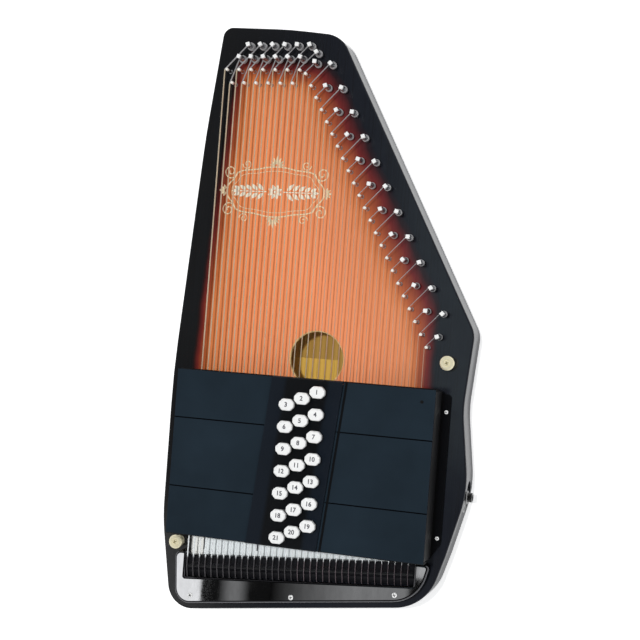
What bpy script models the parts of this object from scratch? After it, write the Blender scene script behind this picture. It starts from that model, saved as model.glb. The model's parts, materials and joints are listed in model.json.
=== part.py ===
"""Electric autoharp: a flat wooden box zither with 36 steel strings, 21 sprung chord bars and a
side output jack.  Metres, +Z up, lying on its back.

The shapes are drawn in a layout frame whose X is counted from the lowest string across to the
highest, whose Y runs along the strings towards the tuning pins and whose Z starts at the back.
One empty moves the whole layout so that the origin is under the middle of the bounding box.
"""

from math import atan2, ceil, cos, pi, radians, sin, tan

import bmesh
import bpy
from mathutils import Vector

MM = 0.001

# Fits between neighbours
GAP = 0.3 * MM
SLOT_PLAY = 0.4 * MM

# Strings
STRING_COUNT = 36
STRING_PITCH = 6.35 * MM
LAST_STRING_X = (STRING_COUNT - 1) * STRING_PITCH
BASS_STRING_RADIUS = 0.7 * MM
TREBLE_STRING_RADIUS = 0.3 * MM
STRING_SIDES = 4
SADDLE_RISE = 10.0 * MM
NEAR_COIL_RISE = 7.0 * MM
FAR_COIL_RISE = 10.0 * MM

# Body: plates and frame
BACK_THICKNESS = 3.0 * MM
FRAME_DEPTH = 30.0 * MM
BOARD_THICKNESS = 3.0 * MM
EDGE_ROUND = 1.4 * MM
# Corners of the body seen from above, clockwise from the bass side's top.  Each has the string
# that its x is counted from, so that the body follows the string spacing, then x, y and radius.
BODY_CORNERS_MM = (
    (0, -8.3, 60.8, 10), (9, 4.85, 58.3, 400), (13, 32.65, 52.3, 29), (35, 45.05, -229.6, 25),
    (35, 39.15, -302, 120), (35, 48.95, -377.5, 110), (35, 32.5, -440, 60), (35, 17, -490, 46),
    (0, -19.5, -525.9, 24), (0, -34.8, -435, 200), (0, -35.5, -290, 900), (0, -20, -50, 800),
)
PIN_BLOCK_MARGIN = 9.0 * MM
RAIL_WIDTH = 19.0 * MM
# Inner corners of the frame: y where they aren't derived, and radius
CAVITY_TOP_RADII = (6.0 * MM, 12.0 * MM, 20.0 * MM)
CAVITY_TREBLE = ((-300.0 * MM, 20.0 * MM), (-385.0 * MM, 60.0 * MM))
CAVITY_LOW_RADII = (20.0 * MM, 8.0 * MM)
CAVITY_BASS = (-330.0 * MM, 300.0 * MM)
CAVITY_OVERRUN = 6.0 * MM
# Where the four pieces of the frame meet, on the bass and the treble side
PIN_BLOCK_ENDS_Y = (-24.0 * MM, -262.0 * MM)
END_BLOCK_ENDS_Y = (-453.0 * MM, -430.0 * MM)
FRAME_JOINTS_X = (10.0 * MM, LAST_STRING_X - 22.0 * MM)
SOUND_HOLE_RADIUS = 26.5 * MM
SOUND_HOLE_SIDES = 32
SOUND_HOLE_CENTRE = (18 * STRING_PITCH, -265.0 * MM)

# Guide pins: two level rows on the bass side, then one slanted row
GUIDE_RADIUS = 1.5 * MM
GUIDE_RISE = 13.0 * MM
GUIDE_SIDES = 6
LEVEL_STRINGS = 13
GUIDE_ROW_ODD_Y = 15.3 * MM
GUIDE_ROW_EVEN_Y = 2.1 * MM
SLANT_STEP = 11.7 * MM

# Tuning pins, each placed from its own string's bend
TUNING_RADIUS = 2.5 * MM
TUNING_RISE = 20.0 * MM
TUNING_SQUARE = 1.9 * MM
TUNING_SQUARE_LENGTH = 8.0 * MM
PIN_SIDES = 8
PIN_HOLE_SIDES = 6
LEVEL_FAR = (25.4 * MM, 23.4 * MM)
LEVEL_NEAR = (10.3 * MM, 24.6 * MM)
LEVEL_LAST = (20.1 * MM, 16.3 * MM)
SLANT_NEAR = (12.75 * MM, 10.5 * MM)
SLANT_FAR = (22.5 * MM, 20.5 * MM)

# Bridge, anchor and plate at the lower end; each line is y at the first string and its slope
BRIDGE_LINE = (-478.6 * MM, 0.0877)
BRIDGE_WIDTH = 20.4 * MM
BRIDGE_EDGE_RISE = 4.8 * MM
BRIDGE_ENDS_X = (-1.2 * MM, LAST_STRING_X + 5.4 * MM)
SADDLE_WIDTH = 2.4 * MM
ANCHOR_LINE = (-500.0 * MM, 0.108)
ANCHOR_WIDTH = 6.0 * MM
ANCHOR_ENDS_X = (-MM, LAST_STRING_X + 2.0 * MM)
ANCHOR_RISE = 6.2 * MM
ANCHOR_STRING_RISE = 4.3 * MM
PLATE_RISE = SADDLE_RISE + MM
PLATE_WALL = 1.8 * MM
PLATE_MARGIN = 7.3 * MM
PLATE_EAR_BASS = 12.8 * MM
PLATE_EAR_TREBLE = 15.0 * MM
PLATE_EAR_LENGTHS = (25.0 * MM, 21.0 * MM)
PLATE_TAPERS = (4.0 * MM, 9.0 * MM)
PLATE_EDGE_DROP = 2.6 * MM
PLATE_EDGE_WIDTH = 2.2 * MM
PLATE_MOUTH_RADIUS = 3.0 * MM
PLATE_EAR_RADII = (7.0 * MM, 4.0 * MM)
PLATE_CORNER_RADII = (15.0 * MM, 36.0 * MM)

# Chord bars and their felts
BAR_COUNT = 21
BAR_PITCH = 6.95 * MM
BAR_WIDTH = 5.0 * MM
BAR_HEIGHT = 12.0 * MM
FELT_THICKNESS = 4.5 * MM
FELT_OPEN_WIDTH = 5.2 * MM
BAR_TRAVEL = 4.0 * MM
BAR_END_MARGIN = 12.0 * MM

# Buttons
BUTTON_LENGTH = 15.0 * MM
BUTTON_WIDTH = 13.0 * MM
BUTTON_THICKNESS = 4.8 * MM
BUTTON_ROUND = 1.2 * MM
BUTTON_COLUMN_X = LAST_STRING_X / 2 + 5.3 * MM
BUTTON_COLUMN_PITCH = BUTTON_LENGTH - GAP
# The corners are cut off so far that neighbours in the next column, one bar on, stay clear
BUTTON_CORNER = BUTTON_LENGTH / 2 + BUTTON_WIDTH / 2 - (BUTTON_COLUMN_PITCH + BAR_PITCH - 1.5 * GAP) / 2
STEM_LENGTH = 4.0 * MM
STEM_SEAT_DEPTH = 4.0 * MM

# Holders of the bars' ends
HOLDER_LOW_Y = -442.1 * MM
TOOTH_LENGTH = 8.0 * MM
HOLDER_WALL = 2.4 * MM
HOLDER_FLANGE = 9.0 * MM
HOLDER_FLANGE_THICKNESS = 2.0 * MM
HOLDER_END_POST = 5.8 * MM
FLANGE_CORNER = 4.0 * MM
FLANGE_LAP = 1.5 * MM
FLANGE_MARGIN = 0.5 * MM
FLANGE_SETBACKS = (3.0 * MM, 14.0 * MM)
SPRING_STUD_RADIUS = 1.2 * MM
SPRING_STUD_HEIGHT = 8.0 * MM

# Covers and button panel over the bars
COVER_THICKNESS = 2.0 * MM
COVER_SKIRT = 12.0 * MM
COVER_GROOVE_WIDTH = 1.2 * MM
COVER_GROOVE_DEPTH = 0.6 * MM
COVER_GROOVES = (0.295, 0.71)
COVER_LAP = 3.0 * MM
PANEL_HALF_WIDTH = 35.0 * MM
PANEL_SLANT = radians(5.2)
PANEL_MIDDLE_X = BUTTON_COLUMN_X - 5.4 * MM
PANEL_THICKNESS = 2.0 * MM

# Strap buttons; the upper one keeps its distance from the end of the chord-bar unit
STRAP_UPPER_X = LAST_STRING_X + 22.75 * MM
STRAP_UPPER_CLEARANCE = 26.9 * MM
STRAP_LOWER = (-14.0 * MM, -456.5 * MM)
STRAP_HEAD_RADIUS = 7.0 * MM
STRAP_NECK_RADIUS = 3.0 * MM
STRAP_HEIGHT = 13.0 * MM
STRAP_FOOT = 1.5 * MM
STRAP_NECK = (3.5 * MM, 7.5 * MM)
STRAP_HEAD = (10.0 * MM, 12.0 * MM)

# Output jack, on the treble side
JACK_Y = -384.5 * MM
JACK_SEAT_X = LAST_STRING_X + 41.95 * MM
JACK_HEIGHT = BACK_THICKNESS + FRAME_DEPTH / 2
JACK_PLATE_LENGTH = 30.0 * MM
JACK_PLATE_WIDTH = 19.0 * MM
JACK_PLATE_THICKNESS = 1.8 * MM
JACK_PLATE_SIDES = 22
JACK_BORE_RADIUS = 3.25 * MM
JACK_BUSHING_RADIUS = 4.6 * MM
JACK_BUSHING_LENGTH = 7.2 * MM
JACK_NUT_RADIUS = 7.0 * MM
JACK_NUT_THICKNESS = 2.5 * MM
JACK_BARREL_RADIUS = 6.0 * MM
JACK_BARREL_LENGTH = 24.0 * MM
JACK_BORE_LENGTH = 29.0 * MM

# Pickup, under the bars
PICKUP_Y = -350.0 * MM
PICKUP_WIDTH = 18.0 * MM
PICKUP_HEIGHT = 6.5 * MM
PICKUP_ENDS_X = (-2.0 * MM, LAST_STRING_X - MM)
PICKUP_LEAD_X = LAST_STRING_X - 10.25 * MM
LEAD_DROP = 30.0 * MM
LEAD_RUN_IN = 24.0 * MM
LEAD_STEPS = 14
LEAD_RADIUS = 1.5 * MM
LEAD_HOLE_RADIUS = 2.6 * MM

# Levels, counted from the back
FRAME_BOTTOM = BACK_THICKNESS + GAP
FRAME_TOP = BACK_THICKNESS + FRAME_DEPTH - GAP
BOARD_BOTTOM = BACK_THICKNESS + FRAME_DEPTH
BOARD_TOP = BOARD_BOTTOM + BOARD_THICKNESS
ON_BOARD = BOARD_TOP + GAP
SADDLE_TOP = BOARD_TOP + SADDLE_RISE
STRING_TOP = SADDLE_TOP + GAP + 2 * BASS_STRING_RADIUS
FELT_BOTTOM = STRING_TOP + GAP + BAR_TRAVEL
BAR_BOTTOM = FELT_BOTTOM + FELT_THICKNESS
BAR_TOP = BAR_BOTTOM + BAR_HEIGHT
COVER_BOTTOM = BAR_TOP + GAP
COVER_TOP = COVER_BOTTOM + COVER_THICKNESS
PANEL_BOTTOM = COVER_TOP + GAP
PANEL_TOP = PANEL_BOTTOM + PANEL_THICKNESS
BUTTON_BOTTOM = PANEL_TOP + BAR_TRAVEL + SLOT_PLAY
BUTTON_TOP = BUTTON_BOTTOM + BUTTON_THICKNESS
FLANGE_TOP = ON_BOARD + HOLDER_FLANGE_THICKNESS

# Places across the strings
BAR_LEFT = -BAR_END_MARGIN
BAR_RIGHT = LAST_STRING_X + BAR_END_MARGIN + 4.0 * MM
WALL_LEFT = BAR_LEFT - GAP
WALL_RIGHT = BAR_RIGHT + GAP
UNIT_LEFT = WALL_LEFT - HOLDER_WALL
UNIT_RIGHT = WALL_RIGHT + HOLDER_WALL

# Places along the strings
BARS_HALF = (BAR_COUNT - 1) / 2 * BAR_PITCH + BAR_WIDTH / 2
HOLDER_HALF = BARS_HALF + GAP + HOLDER_END_POST
BARS_MIDDLE_Y = HOLDER_LOW_Y + HOLDER_HALF
COVER_HALF = HOLDER_HALF + GAP + COVER_THICKNESS
STRAP_BUTTONS = {
    "strap_button_upper": (STRAP_UPPER_X, BARS_MIDDLE_Y + HOLDER_HALF + STRAP_UPPER_CLEARANCE),
    "strap_button_lower": STRAP_LOWER,
}

# Tuning of the strings as semitones, lowest first, and the chord of each bar
LOW_NOTES = (41, 43, 48, 50, 52, 53, 54, 55, 57, 58, 59)
NOTES = LOW_NOTES + tuple(60 + k for k in range(STRING_COUNT - len(LOW_NOTES)))
MAJOR = (0, 4, 7)
MINOR = (0, 3, 7)
SEVENTH = (0, 4, 7, 10)
# Roots of the three button columns from the tuning-pin side, as semitones above C
TREBLE_COLUMN = tuple((root, MAJOR) for root in (3, 10, 5, 0, 7, 2, 9))
MIDDLE_COLUMN = tuple((root, SEVENTH) for root in (5, 0, 7, 2, 9, 4, 11))
BASS_COLUMN = ((8, MAJOR), (10, SEVENTH), (0, MINOR), (7, MINOR), (2, MINOR), (9, MINOR), (4, MINOR))


def clear_scene():
    for obj in list(bpy.data.objects):
        bpy.data.objects.remove(obj, do_unlink=True)


def material(name, colour, roughness, metallic=0.0, coat=0.0):
    """One Principled material."""
    made = bpy.data.materials.new(name)
    made.use_nodes = True
    shader = made.node_tree.nodes["Principled BSDF"]
    shader.inputs["Base Color"].default_value = (*colour, 1.0)
    shader.inputs["Roughness"].default_value = roughness
    shader.inputs["Metallic"].default_value = metallic
    shader.inputs["Coat Weight"].default_value = coat
    return made


def mesh_object(name, bm, look=None, smooth=None):
    """Link a mesh as an object; smooth is the angle under which its edges are shaded smooth."""
    bmesh.ops.recalc_face_normals(bm, faces=bm.faces)
    mesh = bpy.data.meshes.new(name)
    bm.to_mesh(mesh)
    bm.free()
    if smooth:
        mesh.shade_smooth()
        mesh.set_sharp_from_angle(angle=radians(smooth))
    obj = bpy.data.objects.new(name, mesh)
    bpy.context.collection.objects.link(obj)
    if look:
        mesh.materials.append(look)
    return obj


def add_rings(bm, rings):
    """One closed body through rings of equal point counts, capped at both ends."""
    rows = [[bm.verts.new(point) for point in ring] for ring in rings]
    count = len(rows[0])
    for low, high in zip(rows, rows[1:]):
        for k in range(count):
            after = (k + 1) % count
            bm.faces.new((low[k], low[after], high[after], high[k]))
    bm.faces.new(list(reversed(rows[0])))
    bm.faces.new(rows[-1])


def rings_object(name, rings, look=None, smooth=None):
    bm = bmesh.new()
    add_rings(bm, rings)
    return mesh_object(name, bm, look, smooth)


def level(outline, z):
    return [(x, y, z) for x, y in outline]


def prism(name, outline, bottom, top, look=None, smooth=None):
    return rings_object(name, [level(outline, bottom), level(outline, top)], look, smooth)


def box_outline(x0, x1, y0, y1):
    return [(x0, y0), (x1, y0), (x1, y1), (x0, y1)]


def circle(radius, sides, centre=(0.0, 0.0), turn=0.0):
    return [(centre[0] + radius * cos(turn + 2 * pi * k / sides),
             centre[1] + radius * sin(turn + 2 * pi * k / sides)) for k in range(sides)]


def stadium(length, width, sides):
    """A long shape with round ends, along the first axis; half its sides must be an odd number."""
    radius = width / 2
    reach = (length - width) / 2
    half = sides // 2
    points = []
    for end, start in ((reach, -pi / 2), (-reach, pi / 2)):
        points += [(end + radius * cos(start + pi * k / (half - 1)),
                    radius * sin(start + pi * k / (half - 1))) for k in range(half)]
    return points


def cut_corner_box(length, width, cut):
    """Outline of a box with cut corners, clockwise."""
    x, y = length / 2, width / 2
    return [(-x + cut, y), (x - cut, y), (x, y - cut), (x, cut - y),
            (x - cut, -y), (cut - x, -y), (-x, cut - y), (-x, y - cut)]


def rounded(corners, degrees_per_side=13.0):
    """Outline through corners given as (x, y, radius), each corner turned into an arc."""
    points = []
    for k, (x, y, radius) in enumerate(corners):
        corner = Vector((x, y))
        back = (Vector(corners[k - 1][:2]) - corner).normalized()
        ahead = (Vector(corners[(k + 1) % len(corners)][:2]) - corner).normalized()
        turn = pi - back.angle(ahead)
        start = corner + back * (radius * tan(turn / 2))
        side = 1.0 if back.x * ahead.y - back.y * ahead.x > 0 else -1.0
        centre = start + Vector((back.y, -back.x)) * (-side * radius)
        arm = start - centre
        steps = max(2, ceil(turn * 180 / pi / degrees_per_side))
        for j in range(steps + 1):
            angle = -side * turn * j / steps
            points.append((centre.x + arm.x * cos(angle) - arm.y * sin(angle),
                           centre.y + arm.x * sin(angle) + arm.y * cos(angle)))
    return points


def inset(outline, distance):
    """The outline drawn in by a distance; its points run clockwise."""
    drawn = []
    count = len(outline)
    for k in range(count):
        before = Vector(outline[k]) - Vector(outline[k - 1])
        after = Vector(outline[(k + 1) % count]) - Vector(outline[k])
        first = Vector((before.y, -before.x)).normalized()
        second = Vector((after.y, -after.x)).normalized()
        middle = (first + second).normalized()
        step = middle * (distance / middle.dot(first))
        drawn.append((outline[k][0] + step.x, outline[k][1] + step.y))
    return drawn


def boolean(obj, other, operation="DIFFERENCE"):
    """Cut with, or join to, another object, which then counts as a guide only."""
    modifier = obj.modifiers.new(other.name, "BOOLEAN")
    modifier.operation = operation
    modifier.object = other
    modifier.solver = "EXACT"
    other.hide_render = True
    other.display_type = "WIRE"
    return obj


def turned_rings(profile, sides):
    """Rings of a piece turned about Z, from (radius, z) pairs."""
    return [level(circle(radius, sides), z) for radius, z in profile]


def tube_rings(path, radius, sides):
    """Rings square to a path of points, with mitred bends."""
    points = [Vector(point) for point in path]
    rings = []
    for k, point in enumerate(points):
        before = (point - points[k - 1]).normalized() if k else None
        after = (points[k + 1] - point).normalized() if k + 1 < len(points) else None
        along = ((before or after) + (after or before)).normalized()
        stretch = 1.0 / max(0.5, along.dot(before or after))
        across = along.cross(Vector((0, 0, 1))).normalized()
        upward = across.cross(along)
        ring = []
        for j in range(sides):
            angle = 2 * pi * (j + 0.25) / sides
            ring.append(point + across * (radius * stretch * cos(angle)) + upward * (radius * sin(angle)))
        rings.append([tuple(corner) for corner in ring])
    return rings


# The body

def body_corners():
    return [(string * STRING_PITCH + x * MM, y * MM, radius * MM)
            for string, x, y, radius in BODY_CORNERS_MM]


def body_outline():
    return rounded(body_corners())


def body_side(y, side):
    """X of the body's straight edges at y, on the bass side (-1) or the treble side (1)."""
    corners = body_corners()
    crossings = []
    for (x0, y0, _), (x1, y1, _) in zip(corners, corners[1:] + corners[:1]):
        if min(y0, y1) <= y <= max(y0, y1) and y0 != y1:
            crossings.append(x0 + (x1 - x0) * (y - y0) / (y1 - y0))
    return side * max(side * x for x in crossings)


def string_radius(i):
    share = i / (STRING_COUNT - 1)
    return BASS_STRING_RADIUS + share * (TREBLE_STRING_RADIUS - BASS_STRING_RADIUS)


def guide_pin_place(i):
    """Centre of the guide pin that string i bends round."""
    x = i * STRING_PITCH + GUIDE_RADIUS + GAP + string_radius(i)
    if i < LEVEL_STRINGS:
        return x, GUIDE_ROW_EVEN_Y if i % 2 else GUIDE_ROW_ODD_Y
    return x, -(i - LEVEL_STRINGS - 1) * SLANT_STEP


def tuning_pin_place(i):
    """Centre of the tuning pin of string i."""
    if i == LEVEL_STRINGS - 1:
        offset = LEVEL_LAST
    elif i < LEVEL_STRINGS:
        offset = LEVEL_NEAR if i % 2 else LEVEL_FAR
    else:
        offset = SLANT_NEAR if i % 2 else SLANT_FAR
    return i * STRING_PITCH + offset[0], guide_pin_place(i)[1] + offset[1]


def make_plates(outline, looks):
    prism("back_plate", outline, 0.0, BACK_THICKNESS, looks["side"], 30)
    rings = [level(outline, BOARD_BOTTOM), level(outline, BOARD_TOP - EDGE_ROUND),
             level(inset(outline, EDGE_ROUND), BOARD_TOP)]
    board = rings_object("soundboard", rings, looks["top"], 30)
    cutters = bmesh.new()
    below, above = BOARD_BOTTOM - MM, BOARD_TOP + MM
    hole = circle(SOUND_HOLE_RADIUS, SOUND_HOLE_SIDES, SOUND_HOLE_CENTRE)
    add_rings(cutters, [level(hole, below), level(hole, above)])
    lead_hole = circle(LEAD_HOLE_RADIUS, 10, (PICKUP_LEAD_X, PICKUP_Y))
    add_rings(cutters, [level(lead_hole, below), level(lead_hole, above)])
    guides = bmesh.new()
    for i in range(STRING_COUNT):
        reach = (TUNING_RADIUS + GAP) / cos(pi / PIN_HOLE_SIDES)
        clearance = circle(reach, PIN_HOLE_SIDES, tuning_pin_place(i))
        add_rings(cutters, [level(clearance, below), level(clearance, above)])
        guide = circle(GUIDE_RADIUS, GUIDE_SIDES, guide_pin_place(i))
        add_rings(guides, [level(guide, BOARD_TOP - MM), level(guide, BOARD_TOP + GUIDE_RISE)])
    boolean(board, mesh_object("board_holes", cutters))
    boolean(board, mesh_object("guide_pins", guides, looks["chrome"], 70), "UNION")


def cavity_outline():
    """The space inside the frame, clockwise from the bass side's top."""
    slant = Vector((STRING_PITCH, -SLANT_STEP)).normalized()
    inward = Vector((slant.y, -slant.x)) * PIN_BLOCK_MARGIN
    first = Vector(guide_pin_place(LEVEL_STRINGS + 1)) + inward
    last = Vector(guide_pin_place(STRING_COUNT - 1)) + inward + slant * CAVITY_OVERRUN
    block_y = GUIDE_ROW_EVEN_Y - PIN_BLOCK_MARGIN
    start = first + slant * ((block_y - first.y) / slant.y)
    bridge_left = BRIDGE_LINE[0] + BRIDGE_WIDTH
    bridge_right = bridge_left + BRIDGE_LINE[1] * LAST_STRING_X
    corners = [(body_side(block_y, -1) + RAIL_WIDTH, block_y, CAVITY_TOP_RADII[0]),
               (start.x, start.y, CAVITY_TOP_RADII[1]), (last.x, last.y, CAVITY_TOP_RADII[2])]
    for y, radius in CAVITY_TREBLE:
        corners.append((body_side(y, 1) - RAIL_WIDTH, y, radius))
    corners.append((LAST_STRING_X + CAVITY_OVERRUN, bridge_right, CAVITY_LOW_RADII[0]))
    for y, radius in ((bridge_left, CAVITY_LOW_RADII[1]), CAVITY_BASS):
        corners.append((body_side(y, -1) + RAIL_WIDTH, y, radius))
    return rounded(corners, 12.0)


def make_frame(outline, looks):
    """Pin block, two rails and the end block: one ring, parted by thin glue gaps."""
    cavity = prism("cavity", cavity_outline(), 0.0, BOARD_TOP)
    lowest, highest = FRAME_BOTTOM, FRAME_TOP
    half = GAP / 2
    far = 700 * MM
    block_end_bass, block_end_treble = PIN_BLOCK_ENDS_Y
    rail_end_bass, rail_end_treble = END_BLOCK_ENDS_Y
    west, east = FRAME_JOINTS_X
    regions = {
        "pin_block": [(-far, block_end_bass + half), (-far, far), (far, far),
                      (far, block_end_treble + half), (east, block_end_treble + half),
                      (west, block_end_bass + half)],
        "bass_rail": [(-far, block_end_bass - half), (west, block_end_bass - half),
                      (west, rail_end_bass + half), (-far, rail_end_bass + half)],
        "end_block": [(-far, rail_end_bass - half), (west, rail_end_bass - half),
                      (east, rail_end_treble - half), (far, rail_end_treble - half), (far, -far),
                      (-far, -far)],
        "treble_rail": [(east, block_end_treble - half), (far, block_end_treble - half),
                        (far, rail_end_treble + half), (east, rail_end_treble + half)],
    }
    made = {}
    for name, region in regions.items():
        piece = prism(name, outline, lowest, highest, looks["side"], 30)
        boolean(piece, prism(name + "_region", region, -MM, BOARD_TOP + 2 * MM), "INTERSECT")
        boolean(piece, cavity)
        made[name] = piece
    return made


def make_tuning_pins(pin_block, looks):
    """Each pin is driven through the soundboard into the block and ends in a tapered square."""
    bm = bmesh.new()
    for i in range(STRING_COUNT):
        x, y = tuning_pin_place(i)
        top = BOARD_TOP + TUNING_RISE
        shaft = circle(TUNING_RADIUS, PIN_SIDES, (x, y))
        square = []
        for k in range(PIN_SIDES):
            reach = TUNING_SQUARE * (2 ** 0.5 if k % 2 else 1.0)
            turn = 2 * pi * k / PIN_SIDES
            square.append((x + reach * cos(turn), y + reach * sin(turn)))
        add_rings(bm, [level(shaft, FRAME_TOP - 2 * MM), level(shaft, top - TUNING_SQUARE_LENGTH),
                       level(square, top)])
    boolean(pin_block, mesh_object("tuning_pins", bm, looks["chrome"], 35), "UNION")


# Strings and lower end

def bridge_y(x):
    return BRIDGE_LINE[0] + BRIDGE_LINE[1] * x


def anchor_y(x):
    return ANCHOR_LINE[0] + ANCHOR_LINE[1] * x


def string_path(i):
    """From the anchor over the saddle to the guide pin, then slanting to the tuning pin."""
    x = i * STRING_PITCH
    radius = string_radius(i)
    z = SADDLE_TOP + GAP + radius
    guide_x, guide_y = guide_pin_place(i)
    pin = Vector(tuning_pin_place(i))
    towards = (pin - Vector((guide_x, guide_y))).normalized()
    turn = atan2(towards.x, towards.y)
    bend_y = guide_y + (guide_x - x) * tan(turn / 2)
    left = Vector((-towards.y, towards.x)) * (TUNING_RADIUS + GAP + radius)
    end = pin + left
    coil_rise = NEAR_COIL_RISE if i % 2 else FAR_COIL_RISE
    return [(x, anchor_y(x), BOARD_TOP + ANCHOR_STRING_RISE), (x, bridge_y(x) - SADDLE_WIDTH / 2, z),
            (x, bend_y, z), (end.x, end.y, BOARD_TOP + coil_rise)]


def slanted_bar(name, places, line, profile, look):
    """A bar across the strings along a slanted line; the profile holds (offset along Y, z)."""
    rings = [[(x, line(x) + offset, z) for offset, z in profile] for x in places]
    return rings_object(name, rings, look)


def make_string_end(looks):
    half = BRIDGE_WIDTH / 2
    edge = BOARD_TOP + BRIDGE_EDGE_RISE
    saddle = SADDLE_WIDTH / 2
    profile = [(-half, ON_BOARD), (half, ON_BOARD), (half, edge), (0.4 * half, edge + 2 * MM),
               (saddle, SADDLE_TOP), (-saddle, SADDLE_TOP), (-0.4 * half, edge + 2 * MM), (-half, edge)]
    slanted_bar("bridge_rail", BRIDGE_ENDS_X, bridge_y, profile, looks["black"])
    half = ANCHOR_WIDTH / 2
    top = BOARD_TOP + ANCHOR_RISE
    profile = [(-half, ON_BOARD), (half, ON_BOARD), (half, top), (-half, top)]
    between = [(i + 0.5) * STRING_PITCH for i in range(STRING_COUNT - 1)]
    places = [ANCHOR_ENDS_X[0], *between, ANCHOR_ENDS_X[1]]
    anchor = slanted_bar("string_set", places, anchor_y, profile, looks["steel"])
    strings = bmesh.new()
    for i in range(STRING_COUNT):
        add_rings(strings, tube_rings(string_path(i), string_radius(i), STRING_SIDES))
    boolean(anchor, mesh_object("strings", strings, None, 50), "UNION")


def body_bottom_y(x):
    """The straight lower edge of the body."""
    x0, y0, _ = body_corners()[8]
    x1, y1, _ = body_corners()[7]
    return y0 + (y1 - y0) * (x - x0) / (x1 - x0)


def make_anchor_cover(looks):
    """A chromed plate round the anchor with an ear beside each end of the bridge."""
    bass_x = BRIDGE_ENDS_X[0] - GAP
    treble_x = BRIDGE_ENDS_X[1] + GAP
    lip = BRIDGE_WIDTH / 2 + GAP
    mouth_bass, mouth_treble = bridge_y(bass_x) - lip, bridge_y(treble_x) - lip
    top_bass = mouth_bass + PLATE_EAR_LENGTHS[0]
    top_treble = mouth_treble + PLATE_EAR_LENGTHS[1]
    outer_bass = bass_x - PLATE_EAR_BASS
    outer_treble = treble_x + PLATE_EAR_TREBLE
    corner_bass = outer_bass + PLATE_TAPERS[0]
    corner_treble = outer_treble - PLATE_TAPERS[1]
    corners = [
        (bass_x, top_bass, PLATE_MOUTH_RADIUS), (bass_x, mouth_bass, GAP),
        (treble_x, mouth_treble, GAP), (treble_x, top_treble, PLATE_MOUTH_RADIUS),
        (outer_treble, top_treble, PLATE_EAR_RADII[1]),
        (corner_treble, body_bottom_y(corner_treble) + PLATE_MARGIN, PLATE_CORNER_RADII[1]),
        (corner_bass, body_bottom_y(corner_bass) + PLATE_MARGIN, PLATE_CORNER_RADII[0]),
        (outer_bass, top_bass, PLATE_EAR_RADII[0]),
    ]
    outline = rounded(corners, 22.0)
    top = BOARD_TOP + PLATE_RISE
    rings = [level(outline, ON_BOARD), level(outline, top - PLATE_EDGE_DROP),
             level(inset(outline, 0.3 * PLATE_EDGE_WIDTH), top - 0.3 * PLATE_EDGE_DROP),
             level(inset(outline, PLATE_EDGE_WIDTH), top)]
    cover = rings_object("anchor_cover", rings, looks["chrome"], 50)
    low, high = ANCHOR_ENDS_X[0] - GAP, ANCHOR_ENDS_X[1] + GAP
    space = [
        (low, body_bottom_y(low) + PLATE_MARGIN + PLATE_WALL),
        (high, body_bottom_y(high) + PLATE_MARGIN + PLATE_WALL),
        (high, bridge_y(high)), (low, bridge_y(low)),
    ]
    boolean(cover, prism("anchor_space", space, BOARD_TOP - MM, top - PLATE_WALL))


# Chord bars

def bar_y(n):
    """Middle of bar n, counted from 0 at the tuning-pin end."""
    return BARS_MIDDLE_Y + ((BAR_COUNT - 1) / 2 - n) * BAR_PITCH


def button_x(n):
    """Buttons run from the treble column to the bass column in threes."""
    return BUTTON_COLUMN_X + (1 - n % 3) * BUTTON_COLUMN_PITCH


def chord(n):
    return (TREBLE_COLUMN, MIDDLE_COLUMN, BASS_COLUMN)[n % 3][n // 3]


def open_strings(n):
    """The strings that the felt of bar n leaves free."""
    root, steps = chord(n)
    notes = {(root + step) % 12 for step in steps}
    return [i for i in range(STRING_COUNT) if NOTES[i] % 12 in notes]


def bar_profile(n):
    """Side view of a bar: a felt with a gap over each open string, and a seat for its button."""
    open_half = FELT_OPEN_WIDTH / 2
    felt_left = -STRING_PITCH / 2
    felt_right = LAST_STRING_X + STRING_PITCH / 2
    edges = []
    for i in open_strings(n):
        start, stop = i * STRING_PITCH - open_half, i * STRING_PITCH + open_half
        if edges and start - edges[-1] < STRING_PITCH / 2:
            edges[-1] = stop
        else:
            edges += [start, stop]
    edges = [min(max(edge, felt_left), felt_right) for edge in edges]
    inside = [edge for edge in edges if felt_left < edge < felt_right]
    starts_open = edges[0] <= felt_left
    ends_open = edges[-1] >= felt_right
    steps = inside if starts_open else [felt_left] + inside
    steps = steps if ends_open else steps + [felt_right]
    points = [(BAR_LEFT, BAR_BOTTOM)]
    z = BAR_BOTTOM
    for x in steps:
        points.append((x, z))
        z = FELT_BOTTOM if z == BAR_BOTTOM else BAR_BOTTOM
        points.append((x, z))
    seat = STEM_LENGTH / 2 + GAP
    x = button_x(n)
    points += [(BAR_RIGHT, BAR_BOTTOM), (BAR_RIGHT, BAR_TOP), (x + seat, BAR_TOP),
               (x + seat, BAR_TOP - STEM_SEAT_DEPTH), (x - seat, BAR_TOP - STEM_SEAT_DEPTH),
               (x - seat, BAR_TOP), (BAR_LEFT, BAR_TOP)]
    return points


def make_bars(looks):
    """Each bar's origin is the middle of its own seat, on the line that it slides along."""
    half = BAR_WIDTH / 2
    for n in range(BAR_COUNT):
        origin = (button_x(n), bar_y(n), BAR_TOP)
        rings = [[(x - origin[0], side, z - origin[2]) for x, z in bar_profile(n)]
                 for side in (half, -half)]
        bar = rings_object(f"chord_bar_{n + 1:02d}", rings, looks["bar"])
        bar.location = origin


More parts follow.
